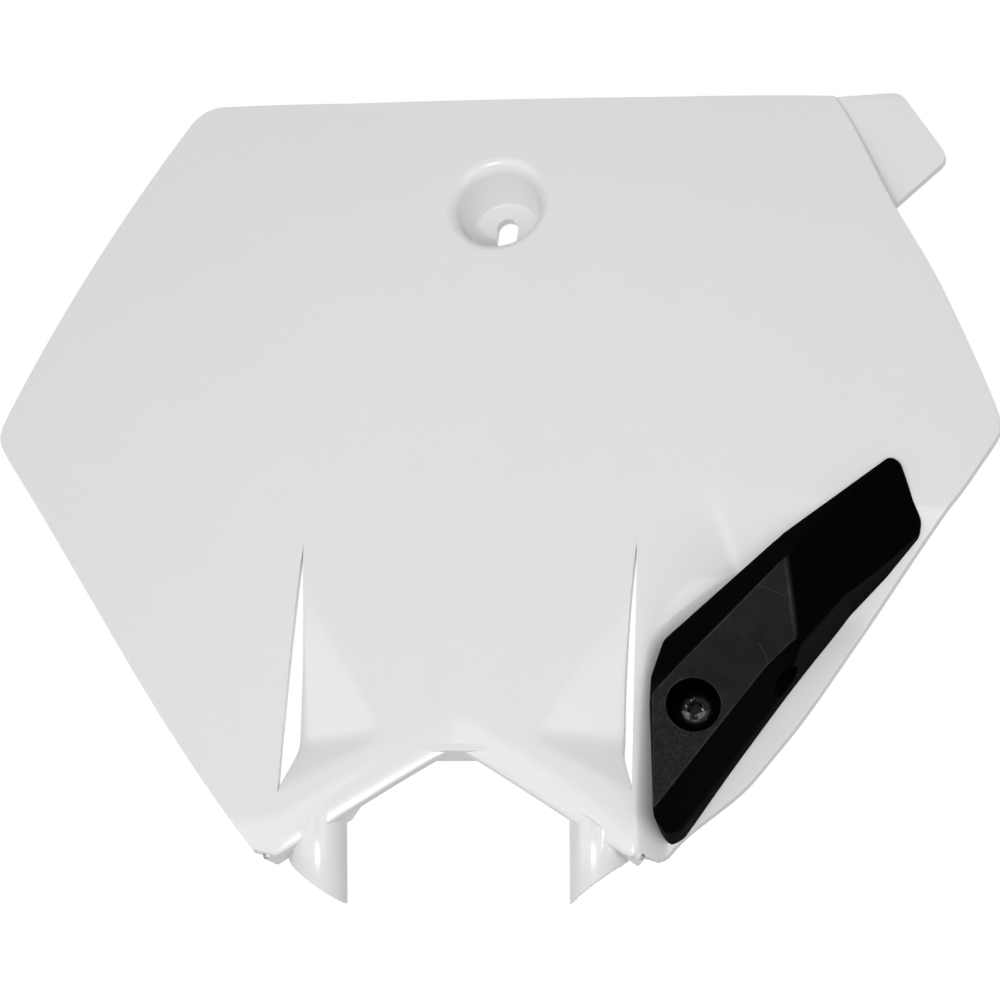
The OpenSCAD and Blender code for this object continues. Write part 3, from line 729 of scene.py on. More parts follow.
def rod(name, r, low, high, count=64):
    return lofted(
        name,
        [[(r * math.cos(a), r * math.sin(a), z) for a in circle(count)] for z in (low, high)],
    )


def rounded(corners, steps):
    """Points of an outline whose corners are given as (x, z, radius)."""
    points = []
    for i, (x, z, r) in enumerate(corners):
        here = Vector((x, z))
        if r <= 0:
            points.append(here)
            continue
        u = (Vector(corners[i - 1][:2]) - here).normalized()
        v = (Vector(corners[(i + 1) % len(corners)][:2]) - here).normalized()
        half = u.angle(v) / 2
        centre = here + (u + v).normalized() * r / math.sin(half)
        a = here + u * r / math.tan(half) - centre
        b = here + v * r / math.tan(half) - centre
        points += [centre + r * a.lerp(b, t).normalized() for t in shares(steps)]
    return points


# Edges that turn by more than this many degrees are rounded
RIM_ANGLE = 50


def joined(name, start, steps=(), bevel=0.0):
    """One mesh from a start and the meshes that are joined to it or cut out of it in turn."""
    scene = bpy.context.scene.collection
    holder = bpy.data.objects.new(name, start)
    scene.objects.link(holder)
    used = [holder]
    if bevel:
        round_off = holder.modifiers.new("rim", "BEVEL")
        round_off.width = bevel
        round_off.segments = 3
        round_off.limit_method = "ANGLE"
        round_off.angle_limit = math.radians(RIM_ANGLE)
    for operation, mesh in steps:
        helper = bpy.data.objects.new(mesh.name, mesh)
        scene.objects.link(helper)
        used.append(helper)
        step = holder.modifiers.new(mesh.name, "BOOLEAN")
        step.operation = operation
        step.solver = "EXACT"
        step.object = helper
    result = evaluated_mesh(holder, name)
    for each in used:
        bpy.data.objects.remove(each)
    return result


def cuts(*meshes):
    return [("DIFFERENCE", mesh) for mesh in meshes]


def between(name, a, b, r, count=48):
    """A round bar from a to b."""
    bar = rod(name, r, 0, (b - a).length, count)
    bar.transform(Matrix.Translation(a) @ (b - a).to_track_quat("Z", "Y").to_matrix().to_4x4())
    return bar


def smoothed(mesh, degrees):
    mesh.shade_smooth()
    mesh.set_sharp_from_angle(angle=math.radians(degrees))
    return mesh


def piece(name, mesh, material, slot, *nodes):
    """Puts a finished mesh in the scene in place of the nodes that it stands for."""
    mesh.materials.clear()
    mesh.materials.append(material)
    thing = bpy.data.objects.new(name, mesh)
    bpy.context.scene.collection.objects.link(thing)
    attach(thing, "root")
    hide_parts(*nodes)


# Finishes


WHITE = (1, 1, 1, 1)


def shader_nodes(owner):
    """The emptied shader tree of a material or a world."""
    owner.use_nodes = True
    owner.node_tree.nodes.clear()
    return Nodes(owner.node_tree)


def new_material(name):
    material = bpy.data.materials.new(name)
    return material, shader_nodes(material)


# Scale, detail and roughness of the noises in the white plastic, the black and the steel
FLOW, CLOUD, PEEL, WAVES = (9, 3, 0.5), (60, 4, 0.5), (900, 1, 0.5), (70, 1, 0.5)
GRAIN, CELLS, BLOTCH, PATCHES = (2600, 2, 0.5), (1100, 3, 0.7), (130, 5, 0.7), (35, 2, 0.5)
RUB = (1100, 3, 0.6)


def noises(nodes, place, *kinds):
    made = []
    for scale, detail, roughness in kinds:
        sizes = {"Vector": place, "Scale": scale, "Detail": detail, "Roughness": roughness}
        made.append(nodes.node("ShaderNodeTexNoise", inputs=sizes))
    return made


def surfaced(nodes, height, strength, depth, sockets):
    """Ends a material in the shader with these sockets, over a bump from this height."""
    sizes = {"Strength": strength, "Distance": depth, "Height": height}
    normal = nodes.node("ShaderNodeBump", inputs=sizes)
    shader = nodes.node("ShaderNodeBsdfPrincipled", inputs={**sockets, "Normal": normal})
    nodes.node("ShaderNodeOutputMaterial", inputs={"Surface": shader})


def object_place(nodes):
    return nodes.node("ShaderNodeTexCoord", output=3)


def past(nodes, place, way, point):
    """How far a place lies past a point, along a way, in metres."""
    reach = nodes.node(
        "ShaderNodeVectorMath", {"operation": "DOT_PRODUCT"}, {0: place, 1: tuple(way)}, 1
    )
    return reach - Vector(way).dot(point)


def white_plastic():
    """Glossy moulded plastic with a trace of orange peel and flow in its white."""
    finish = bpy.context.scene.finishes
    material, nodes = new_material("white_plastic")
    place = object_place(nodes)
    flow, cloud, peel, waves = noises(nodes, place, FLOW, CLOUD, PEEL, WAVES)
    tone = (flow * 0.7 + cloud * 0.3).held()
    low, high = [(*[c * share for c in finish.white], 1) for share in (0.97, 1.02)]
    surfaced(nodes, peel * 0.25 + waves * 0.75, 0.12, 0.2 * MM, {
        "Base Color": tone.mixed(low, high),
        "Roughness": finish.gloss - 0.03 + cloud * 0.06,
        "IOR": 1.5,
    })
    return material


# Ends of the scratches on the facet, in millimetres along the board's own axes
SCRATCHES = (((85.4, -121.1), (93.9, -123.7)), ((86.5, -137.5), (89.3, -142.9)))


def scratch(nodes, place, cover, ends, width=0.2 * MM):
    """A thin scratch on the facet of the cover."""
    lean = cover.board.leaned()
    places = [(x * MM, z * MM) for x, z in ends]
    start, end = [lean @ Vector((x, cover.facet_y(x, z), z)) for x, z in places]
    way = (end - start).normalized()
    up = lean.to_3x3() @ Vector((-cover.c.facet_x, 1, -cover.c.facet_z))
    aside = way.cross(up).normalized()
    run = past(nodes, place, way, start)
    off = abs(past(nodes, place, aside, start))
    span = (end - start).length
    return (1 - off / width).held() * (run > 0.0) * (run < span)


def black_plastic(cover):
    """Matt black moulded plastic: a facet lifted by painted sheen with scuffs in it, painted
    highlights along its edge, a grained lower end and dark flanks.
    """
    finish, c = bpy.context.scene.finishes, cover.c
    material, nodes = new_material("black_plastic")
    place = object_place(nodes)
    lean = cover.board.leaned()
    spin = lean.to_3x3()
    x0, z0 = cover.corner
    back = spin @ Vector((-c.facet_x, 1, -c.facet_z)).normalized()
    behind = past(nodes, place, back, lean @ Vector((x0, cover.facet_y(x0, z0), z0)))
    way = spin @ Vector((math.cos(c.turn), 0, math.sin(c.turn)))
    screw = cover.board.s
    middle = lean @ Vector((screw.place_x, cover.board.screw_face, screw.place_z))
    up_from_screw = past(nodes, place, way, middle)
    facet = 1 - ((abs(behind) - 0.15 * MM) / (0.3 * MM)).held()
    # A thin band just behind the facet's plane, along its edge, is lighter: a painted highlight on
    # the crease
    crest = (behind / (0.05 * MM)).held() * (1 - ((behind - 0.12 * MM) / (0.15 * MM)).held())
    low_end = 1 - (up_from_screw / (5 * MM) + 0.5).held()
    grain, cells, blotch, patches = noises(nodes, place, GRAIN, CELLS, BLOTCH, PATCHES)
    # Lighter over the whole facet: painted sheen where the lamps catch its plane, with random
    # scuffs on the upper part and grain at the lower end
    smooth = 0.2 + patches * 0.25 + (blotch - 0.5) * 0.3 + (grain - 0.5) * 0.3
    mottled = 0.3 + ((cells - 0.46) * 1.3).held() * (0.5 + grain) + (grain - 0.5) * 0.25
    sheen_and_scuffs = facet * (smooth * (1 - low_end) + mottled * low_end)
    painted_edge_highlight = crest * (0.12 + ((blotch - 0.4) * 1.5).held())
    marks = sum(scratch(nodes, place, cover, ends) for ends in SCRATCHES)
    dust = ((blotch - 0.62) * 1.5).held() * 0.06
    share = (sheen_and_scuffs + painted_edge_highlight + marks * facet * 0.45 + dust).held()
    colour = share.mixed((*finish.black, 1), (*finish.scuffs_and_sheen, 1))
    height = grain * 0.35 + cells * (0.25 + low_end * 0.6) - marks * 0.5
    surfaced(nodes, height, 0.5, 0.12 * MM, {
        "Base Color": colour,
        "Roughness": 0.42 + facet * 0.16 + (cells - 0.5) * 0.2,
        "Specular IOR Level": 0.009,
    })
    return material


def black_steel(shape):
    """Blackened screw steel, with metal showing round the recess where a driver has slipped, more
    of it on the lower half as painted glints, and painted highlights on the lower left and right
    of the head.
    """
    finish = bpy.context.scene.finishes
    material, nodes = new_material("black_steel")
    place = object_place(nodes)
    lean = shape.leaned()
    spin = lean.to_3x3()
    middle = lean @ Vector((shape.s.place_x, shape.head_seat, shape.s.place_z))
    aside = past(nodes, place, spin @ Vector((1, 0, 0)), middle)
    up = past(nodes, place, spin @ Vector((0, 0, 1)), middle)
    r = (aside * aside + up * up) ** 0.5
    round_recess = (1 - abs(r - 2.4 * MM) / (0.9 * MM)).held()
    # More of this metal on the lower half of the head, where the light falls: painted glints mixed
    # with the driver's wear round the recess
    below = (0.35 - up / (4 * MM)).held()
    rub = noises(nodes, place, RUB)[0]
    wear_and_glints = ((rub - 0.68 + round_recess * (0.1 + below * 0.12)) * 9.0).held()
    # Two grey patches on the lower left and right of the head's dome: painted highlights of the
    # lamps
    band = ((1.05 * MM - abs(r - 2.85 * MM)) / (0.35 * MM)).held()
    far_aside = ((abs(aside) - 1 * MM) / (0.4 * MM)).held()
    far_down = ((-0.7 * MM - up) / (0.5 * MM)).held()
    painted_highlight_patches = band * far_aside * far_down * (0.5 + rub * 0.6)
    dark = painted_highlight_patches.mixed((*finish.steel, 1), (0.14, 0.14, 0.145, 1))
    colour = wear_and_glints.mixed(dark, (0.4, 0.4, 0.41, 1))
    surfaced(nodes, rub, 0.25, 0.08 * MM, {
        "Base Color": colour,
        "Metallic": wear_and_glints,
        "Roughness": 0.2 + rub * 0.12,
        "Specular IOR Level": 0.15,
    })
    return material


# Board


# Rows are closer together within this distance of the side corners
SIDE_BAND = 8 * MM


def board_rows(shape, counts):
    """Heights of the rows of the mesh at the slots, closer at the side corners."""
    top_row, side_z = shape.top(shape.v.slot_x), shape.b.side_z
    marks = [top_row, top_row - shape.b.top_corner_r, side_z + SIDE_BAND, side_z - SIDE_BAND]
    marks += [shape.v.slot_top, shape.v.slot_foot, shape.foot(shape.slot_outer(shape.v.slot_foot))]
    rows = [mix(a, b, u) for a, b, n in zip(marks, marks[1:], counts) for u in shares(n)[:-1]]
    return rows + [marks[-1]]


def side_point(shape, rows, i, count, j, edge):
    """A point of a side panel of the flat board: column i of the count, in row j."""
    share = (rows[0] - rows[j]) / (rows[0] - rows[-1])
    low = mix(shape.corner_z, shape.b.foot_z, share)
    u = i / count
    return mix(shape.slot_outer(rows[j]), edge(low), u), mix(rows[j], low, u)


def flat_mesh(name, shape, points, faces, panels, places=None):
    """A flat mesh that knows the panel, the place and the height over the foot of each point."""
    places = places or points
    mesh = bpy.data.meshes.new(name)
    mesh.from_pydata([(x, 0, z) for x, z in points], [], faces)
    slope = math.hypot(1, shape.b.vee_slope)
    layers = {
        "panel": panels,
        "above_foot": [(z - shape.foot(x)) / slope for x, z in places],
        "place_x": [x for x, z in places],
        "place_z": [z for x, z in places],
    }
    for layer, values in layers.items():
        mesh.attributes.new(layer, "FLOAT", "POINT").data.foreach_set("value", values)
    return mesh


def flat_block(shape, counts, start, reach):
    """The right panel, drawn out past its edges, to fit the cover to the board."""
    rows = board_rows(shape, counts["rows"])
    side, last = counts["side"], len(rows) - 1
    points, places = [], []
    for j in range(start, last + 2):
        for i in range(side + 2):
            x, z = side_point(shape, rows, min(i, side), side, min(j, last), shape.edge_right)
            places.append((x, z))
            points.append((x + reach * (i > side), z - reach * (j > last)))
    faces = grid_faces(last + 2 - start, side + 2)
    return flat_mesh("cover_block", shape, points, faces, [1.0] * len(points), places)


def flat_board(shape, counts):
    """The board's outline as a flat mesh of a middle and two side panels."""
    rows = board_rows(shape, counts["rows"])
    first_open, last_open = sum(counts["rows"][:4]), sum(counts["rows"][:5])
    middle, side = counts["middle"], counts["side"]
    points, panels = [], []
    for z in rows:
        share = (rows[0] - z) / (rows[0] - rows[-1])
        for i in range(middle + 1):
            x = (2 * i / middle - 1) * shape.slot_inner(z)
            points.append((x, mix(shape.top(x), shape.foot(x), share)))
            panels.append(0.0)
    middle_points = len(points)
    for turn, edge in ((-1, shape.edge_left), (1, shape.edge_right)):
        for j in range(len(rows)):
            for i in range(side + 1):
                x, z = side_point(shape, rows, i, side, j, edge)
                points.append((turn * x, z))
                panels.append(float(turn))

    def at(panel, i, j):
        """Index of a point; away from the slots a side panel starts on the middle's edge."""
        if panel and (i or first_open < j < last_open):
            return middle_points + ((panel > 0) * len(rows) + j) * (side + 1) + i
        return j * (middle + 1) + (middle * (panel > 0) if panel else i)

    cells = [(0, i, i + 1) for i in range(middle)]
    for i in range(side):
        cells += [(1, i, i + 1), (-1, i + 1, i)]
    faces = [
        [at(panel, a, j), at(panel, b, j), at(panel, b, j + 1), at(panel, a, j + 1)]
        for j in range(len(rows) - 1)
        for panel, a, b in cells
    ]
    used = sorted({k for quad in faces for k in quad})
    new = {k: n for n, k in enumerate(used)}
    faces = [[new[k] for k in quad] for quad in faces]
    points, panels = [points[k] for k in used], [panels[k] for k in used]
    return flat_mesh("board_flat", shape, points, faces, panels)


def line_side(a, b, x, z):
    """Distance of a point from the line through a and b, in the flat board."""
    d = (Vector(b) - Vector(a)).normalized()
    return (z - a[1]) * d[0] - (x - a[0]) * d[1]


# The falling side of the pocket: its width at the top and the foot as shares of its widest,
# the share of its length where it starts to widen, and how its slope grows across it
SIDE_TOP, SIDE_FOOT, SIDE_START, SIDE_BEND = 0.69, 0.29, 0.04, 1.6


def face_tree(shape, sizes, material):
    """Geometry Nodes that press the flat board into its moulded form and give it its wall."""
    nodes, size = geometry_tree("board_face", sizes)
    v, f = shape.v, shape.f
    end_x, _, end_z = nodes.place()
    panel, above, x, z = nodes.attributes("panel", "above_foot", "place_x", "place_z")
    across = abs(x)
    base = x * x / (size["Curve Across"] * 2) + z * z / (size["Curve Down"] * 2)
    roll = (1 - above / size["Lip Height"]).held()
    lip = size["Lip Drop"] * roll * roll
    upper = (v.slot_x, v.slot_top)
    inner = (v.scoop_x, v.scoop_z)
    lower = (v.slot_x + v.valley_shift, v.slot_foot)
    scoop = size["Scoop Slope"] * (-line_side(inner, upper, across, z)).rising(v.crease)
    valley = size["Valley Slope"] * line_side(inner, lower, across, z).rising(v.crease / 2)
    louvre = scoop.smooth_least(valley, v.ridge_soft).most(0.0)
    inside = (scoop > 0.0) * (valley > 0.0) * (abs(panel) < 0.5)
    fall = (size["Pocket Ramp"] * (f.pocket_z - z).rising(f.ramp_soft)).smooth_least(
        size["Pocket Depth"], f.ramp_soft / 4
    )
    down = (f.pocket_z - z) / f.pocket_len
    high_side = mix(SIDE_TOP, 1, ((down - SIDE_START) / (0.5 - SIDE_START)).held())
    low_side = mix(1, SIDE_FOOT, ((down - 0.5) / 0.5).eased())
    side = f.pocket_w * mix(high_side, low_side, down > 0.5)
    reach = ((x - f.pocket_x) / side).held() ** SIDE_BEND
    pocket = fall.most(0.0) * reach * (panel > 0.5)
    depth = base + lip + louvre * inside + pocket
    face = nodes.moved(size["Geometry"], end_x, depth, end_z)
    back_way = nodes.node("ShaderNodeCombineXYZ", inputs={1: size["Wall"]})
    back = nodes.node(
        "GeometryNodeExtrudeMesh",
        {"mode": "FACES"},
        {"Mesh": face, "Offset": back_way, "Offset Scale": 1.0, "Individual": False},
    )
    front = nodes.node("GeometryNodeFlipFaces", inputs={0: face})
    both = nodes.node("GeometryNodeJoinGeometry", inputs={0: [back, front]})
    closed = nodes.node("GeometryNodeMergeByDistance", inputs={0: both, "Distance": 1e-6})
    end_geometry(nodes, closed, material)
    return nodes


# How far cutters and joined parts reach past the surfaces that they end at
PAST = 1 * MM
# Points round the cup
CUP_POINTS = 96


def cup_ring(shape, r, y):
    drop = shape.f.cup_drop * clamp(y / shape.f.cup_depth)
    return [(r * math.cos(a), y, r * math.sin(a) - drop) for a in circle(CUP_POINTS)]


def fillet_rings(shape, r, y, q, steps):
    return [
        cup_ring(shape, r + q * (1 - math.cos(a)), y + q * (1 - math.sin(a)))
        for a in arc(steps, 90, 0)
    ]


def cup_meshes(shape):
    """The body of the cup, its floor, its hollow and the slotted hole."""
    f, wall = shape.f, shape.b.wall
    outer = [cup_ring(shape, f.cup_mouth_r + f.cup_round, wall / 2)]
    outer += fillet_rings(shape, f.cup_mouth_r + wall, wall, f.cup_round - wall, 8)
    outer += [cup_ring(shape, f.cup_floor_r + wall, shape.seat_y - PAST)]
    body = lofted("cup_body", outer)
    floor_r = f.cup_floor_r + wall - PAST / 2
    floor = rod("cup_floor", floor_r, f.cup_depth - PAST, shape.seat_y, CUP_POINTS)
    turned_back(floor, 0, -f.cup_drop)
    inner = [cup_ring(shape, f.cup_mouth_r + f.cup_round, -4 * PAST)]
    inner += fillet_rings(shape, f.cup_mouth_r, 0, f.cup_round, 12)
    for a in arc(5, 0, 90):
        r = f.cup_floor_r + f.cup_corner * math.cos(a)
        inner.append(cup_ring(shape, r, f.cup_depth - f.cup_corner * (1 - math.sin(a))))
    hollow = lofted("cup_hollow", inner)
    half, r = (f.fix_len - f.fix_w) / 2, f.fix_w / 2
    ends = [(a, half) for a in arc(16, 0, 180)] + [(a, -half) for a in arc(16, 180, 360)]
    slot = [
        [(r * math.cos(a), y, r * math.sin(a) + z - f.cup_drop) for a, z in ends]
        for y in (f.cup_depth - PAST, shape.seat_y + PAST)
    ]
    return body, floor, hollow, lofted("fixing_slot", slot)


def tab_meshes(shape):
    """The tab behind the upper right edge and the wall of its step."""
    f, wall = shape.f, shape.b.wall
    corner_z, foot = shape.corner_z, f.tab_foot_z
    tip = shape.top_x + f.tab_x

    def step(z):
        return mix(f.tab_step_top, f.tab_step_foot, clamp((corner_z - z) / (corner_z - foot)))

    def front(x, z):
        return (x, shape.base(x, z) + step(z), z)

    corners = [
        (shape.edge_right(foot), foot - PAST / 2, 0),
        (tip, corner_z - f.tab_side, f.tab_corner_r),
        (tip - f.tab_slant, corner_z + f.tab_rise, f.tab_corner_r),
        (shape.top_x + PAST, shape.top(shape.top_x + PAST), 0),
    ]
    grid = []
    for p, u in zip(resampled(rounded(corners, 10), 39), shares(39)):
        z = mix(foot + PAST / 2, corner_z - PAST, u)
        start = Vector((shape.edge_right(z) - 3 * PAST, z))
        grid.append([front(*start.lerp(p, t)) for t in shares(16)])
    plate = sheet_solid("tab_plate", grid, wall)
    rings = []
    for u in shares(24):
        z = mix(corner_z - PAST / 2, foot - PAST / 2, u)
        x = shape.edge_right(z) - 0.02 * wall
        y = shape.base(x, z)
        near, low, inner = y + wall / 4, y + step(z) + 0.9 * wall, x - 0.9 * wall
        rings.append([(x, near, z), (inner, near, z), (inner, low, z), (x, low, z)])
    return joined("tab_plate", plate, bevel=shape.b.rim_r), lofted("tab_step", rings)


def resampled(points, steps):
    """The same path in even steps."""
    lengths = [0.0]
    for a, b in zip(points, points[1:]):
        lengths.append(lengths[-1] + (b - a).length)
    even, k = [], 0
    for i in range(steps + 1):
        s = lengths[-1] * i / steps
        while k < len(lengths) - 2 and lengths[k + 1] < s:
            k += 1
        gap = lengths[k + 1] - lengths[k]
        even.append(points[k].lerp(points[k + 1], (s - lengths[k]) / gap if gap else 0))
    return even


# The rounded side of the return at the V: shares of its half width and of its depth, from
# its back end
RETURN_SIDE = ((0.92, 0.39), (0.69, 0.09), (0.46, 0))


def apex_return(shape):
    """The return behind the point of the V."""
    b = shape.b
    z = b.vee_z - b.vee_round - 0.3 * b.return_t
    y0 = shape.base(0, b.vee_z) + b.wall / 2
    y1 = shape.base(0, b.vee_z) + b.return_d
    outline = [(b.return_x, y0)]
    outline += [(u * b.return_x, y1 - v * b.return_d) for u, v in RETURN_SIDE]
    outline += [(-x, y) for x, y in reversed(outline)]
    rings = [[(x, y, level) for x, y in outline] for level in (z, z + b.return_t)]
    return joined("apex_return", lofted("apex_return", rings), bevel=0.4 * MM)


# Marks that a shelf is stretched over: the side of its lug, then shares of the shelf's reach
# past it and of its rise, and shares of its thickness, of the wall and of the lug's depth
# that add up to how far it lies behind the face
SHELF_MARKS = (
    (-1, 1, 0.1, 0.3, 1, 0),
    (1, 0.9, 0.1, 0.4, 1, 0),
    (1, 0.55, 0.1, 0, 0, 0.8),
    (1, 0, 1, 0.7, 0, 1),
    (-1, 0, 0.75, 0.7, 0, 1),
)


def shelf(shape, turn):
    """The shelf behind the lip, over one lug."""
    b, f = shape.b, shape.f
    work = bmesh.new()
    for side, reach, rise, thick, wall, back in SHELF_MARKS:
        x = f.lug_x + side * (f.lug_r + reach * f.shelf_reach)
        z = shape.foot(x) + b.return_t / 2 + rise * f.shelf_rise
        y = shape.base(x, z) + thick * b.return_t + wall * b.wall + back * f.lug_back
        spot = Matrix.Translation((turn * x, y, z))
        bmesh.ops.create_uvsphere(
            work, u_segments=20, v_segments=12, radius=b.return_t / 2, matrix=spot
        )
    hull = bmesh.ops.convex_hull(work, input=work.verts)
    loose = hull["geom_interior"] + hull["geom_unused"]
    loose = [each for each in loose if isinstance(each, bmesh.types.BMVert)]
    bmesh.ops.delete(work, geom=loose, context="VERTS")
    mesh = bpy.data.meshes.new("shelf")
    work.to_mesh(mesh)
    work.free()
    return recalculated(mesh)


def lug(shape, turn):
    """A half-round lug that hangs straight down when the board leans on the bike."""
    b, f = shape.b, shape.f
    z0 = shape.foot(f.lug_x) + 0.4 * b.return_t
    y0 = shape.base(f.lug_x, z0) + f.lug_back
    angles = arc(40, 180, 360)
    section = [(f.lug_r * math.cos(a), f.lug_r * math.sin(a)) for a in angles]
    inner = f.lug_r - f.lug_t
    section += [(inner * math.cos(a), inner * math.sin(a)) for a in reversed(angles)]
    tilt = Matrix.Rotation(b.rake, 3, "X")
    ends = []
    for high in (0, 1):
        ring = []
        for x, y in section:
            z = (x + f.lug_r) * math.tan(f.lug_cut) - f.lug_len
            point = tilt @ Vector((x, y, z))
            if high:
                roof = shape.foot(f.lug_x) - b.vee_slope * x + f.shelf_rise - z0
                rise = tilt @ Vector((0, 0, 1))
                point += rise * (roof - point.z) / rise.z
            ring.append((turn * (f.lug_x + point.x), y0 + point.y, z0 + point.z))
        ends.append(ring)
    return joined("lug", lofted("lug", ends), bevel=0.35 * MM)


# Rows between the marks of board_rows, columns of the middle and columns of a side panel
FINENESS = {"rows": (8, 46, 28, 22, 58, 12), "middle": 72, "side": 44}
# Edges that turn by more than these degrees stay sharp
BOARD_SHARP, COVER_SHARP, SCREW_SHARP = 38, 32, 35


def face_sizes(shape, wall):
    b, v, f = shape.b, shape.v, shape.f
    return {
        "Curve Across": b.curve_x,
        "Curve Down": b.curve_z,
        "Lip Height": b.lip_h,
        "Lip Drop": b.lip_drop,
        "Scoop Slope": v.scoop_slope,
        "Valley Slope": v.valley_slope,
        "Pocket Ramp": f.pocket_ramp,
        "Pocket Depth": f.pocket_d,
        "Wall": wall,
    }


class BOARD_OT_build(bpy.types.Operator):
    """Build the white board"""

    bl_idname = "number_board.board"
    bl_label = "Board"

    def execute(self, context):
        shape = BoardShape(context.scene)
        b, f, s = shape.b, shape.f, shape.s
        material = white_plastic()
        sizes = face_sizes(shape, b.wall)
        tree = face_tree(shape, sizes, material)
        shell = recalculated(run_tree(flat_board(shape, FINENESS), tree, sizes, "board"))
        body, floor, hollow, slot = cup_meshes(shape)
        plate, step = tab_meshes(shape)
        boss_len = f.pocket_d + b.wall + s.boss_tail - s.boss_low
        boss = turned_back(rod("boss", s.boss_r, 0, boss_len), s.place_x, s.place_z, shape.boss_y)
        bore = rod("bore", s.shank_r + s.hole_gap, -PAST, s.shank_len + PAST - s.seat_t)
        turned_back(bore, s.place_x, s.place_z, shape.boss_y)
        added = [body, floor, plate, step, apex_return(shape), boss]
        for turn in (-1, 1):
            added += [shelf(shape, turn), lug(shape, turn)]
        steps = [("UNION", mesh) for mesh in added] + cuts(hollow, slot, bore)
        mesh = joined("board_shell", shell, steps, b.rim_r)
        mesh.transform(shape.leaned())
        smoothed(mesh, BOARD_SHARP)
        piece("board_shell", mesh, material, "white_plastic", "board")
        return {"FINISHED"}


# Points round the screw and its sunk hole
SCREW_POINTS = 72


def sunk_hole(cover):
    """The cutter for the sunk hole, with a rounded rim that follows the facet."""
    c, shape = cover.c, cover.board

    def ring(r, off):
        x0, z0 = shape.s.place_x, shape.s.place_z
        places = [(x0 + r * math.cos(a), z0 + r * math.sin(a)) for a in circle(SCREW_POINTS)]
        return [(x, cover.facet_y(x, z) + off, z) for x, z in places]

    q = c.sink_round
    rings = [ring(c.sink_r + q, -5 * PAST)]
    rings += [ring(c.sink_r + q * (1 - math.cos(a)), q * (1 - math.sin(a))) for a in arc(5, 90, 0)]
    seat = [(x, shape.head_seat, z) for x, _, z in ring(c.sink_r, 0)]
    return lofted("sunk_hole", rings + [seat])


# Depth of the block that fits the cover to the board and its reach past the board's edges
BLOCK_DEPTH, BLOCK_REACH = 70 * MM, 20 * MM
# Wall round the sunk hole as a share of the cover's, and where the sleeve of the hose way
# starts, as a share of the way
RING_WALL, SLEEVE_START = 0.8, 0.6


class COVER_OT_build(bpy.types.Operator):
    """Build the black hose cover"""

    bl_idname = "number_board.cover"
    bl_label = "Hose Cover"

    def execute(self, context):
        cover = CoverShape(context.scene)
        c, shape = cover.c, cover.board
        s = shape.s
        material = black_plastic(cover)
        outer = cover.form("cover_shell", 0, True)
        ring = rod("screw_ring", c.sink_r + RING_WALL * c.wall, 0, shape.boss_y)
        turned_back(ring, s.place_x, s.place_z)
        a, b = cover.hose_ends()
        sleeve = between("sleeve", a.lerp(b, SLEEVE_START), b, c.hose_r + c.sleeve_t)
        cavity = joined("cavity", cover.form("cavity", c.wall, False), cuts(ring, sleeve))
        hole = turned_back(rod("hole", s.shank_r + s.hole_gap, 0, 60 * MM), s.place_x, s.place_z)
        way = between("hose_way", a, b, c.hose_r)
        sizes = face_sizes(shape, BLOCK_DEPTH)
        tree = face_tree(shape, sizes, material)
        start = sum(FINENESS["rows"][:2])
        flat = flat_block(shape, FINENESS, start, BLOCK_REACH)
        block = recalculated(run_tree(flat, tree, sizes, "cover_block"))
        block.transform(Matrix.Translation((0, -c.gap, 0)))
        mesh = joined("cover_shell", outer, cuts(cavity, sunk_hole(cover), hole, way, block))
        mesh.transform(shape.leaned())
        smoothed(mesh, COVER_SHARP)
        piece("cover_shell", mesh, material, "black_plastic", "hose_cover")
        return {"FINISHED"}


# Rings of the recess from its floor up: shares of its radius and depth, millimetres added to
# the depth, and the share of the lobes
RECESS = (
    (0.25, 1, 0.2, 0),
    (0.9, 1, 0, 1),
    (1, 0.5, 0, 1),
    (1, 0, 0.25, 1),
    (1.03, 0, 0.14, 1),
    (1.12, 0, 0.08, 0.8),
)
# Radius of the head's flat face as a share of the recess, height of its dome as a share of
# the head, rings of a turn of the thread, and the tip's radius as a share of the shank's
HEAD_FLAT, HEAD_DOME, THREAD_RINGS, TIP_R = 1.24, 0.6, 9, 0.4


def screw_profile(s):
    """Radius, depth, share of the lobes and share of the thread for each ring of the screw."""
    rings = [
        (r * s.recess_r, depth * s.recess_d + more * MM, lobes, 0)
        for r, depth, more, lobes in RECESS
    ]
    flat, brim = HEAD_FLAT * s.recess_r, 0.2 * MM
    start = RECESS[-1][2] * MM
    for a in arc(11, 0, 90):
        z = start + (HEAD_DOME * s.head_h - start) * (1 - math.cos(a))
        rings.append((flat + (s.head_r - flat) * math.sin(a), z, 0, 0))
    rings += [(s.head_r, s.head_h - brim, 0, 0), (s.head_r - brim, s.head_h, 0, 0)]
    rings.append((s.shank_r, s.head_h, 0, 0))
    end, tip = s.head_h + s.shank_len, s.tip_len
    for u in shares(round(s.shank_len / s.pitch * THREAD_RINGS))[1:]:
        z = mix(s.head_h, end, u)
        thread = clamp((z - s.head_h - 0.5 * MM) / s.pitch) * clamp((end - z) / s.pitch)
        r = s.shank_r * mix(1, TIP_R, clamp((z - end + tip) / tip))
        rings.append((r, z, 0, thread))
    return rings


# Half of the flat at the foot and the crest of the thread, as a share of its pitch
THREAD_FLAT = 0.12


def screw_tree(sizes, material):
    """Geometry Nodes that draw the lobes of the recess and cut the thread."""
    nodes, size = geometry_tree("screw_form", sizes)
    x, y, z = nodes.place()
    lobe, thread = nodes.attributes("lobe", "thread")
    turn = x.math("ARCTAN2", y, x)
    wave = x.math("COSINE", turn * size["Lobes"])
    phase = x.math("FRACT", z / size["Pitch"] - turn / (2 * math.pi))
    groove = ((abs(phase * 2 - 1) - THREAD_FLAT) / (1 - 2 * THREAD_FLAT)).held()
    grown = (1 - wave * lobe * size["Lobe Share"]) * (1 - groove * thread * size["Thread Share"])
    end_geometry(nodes, nodes.moved(size["Geometry"], x * grown, y * grown, z), material)
    return nodes


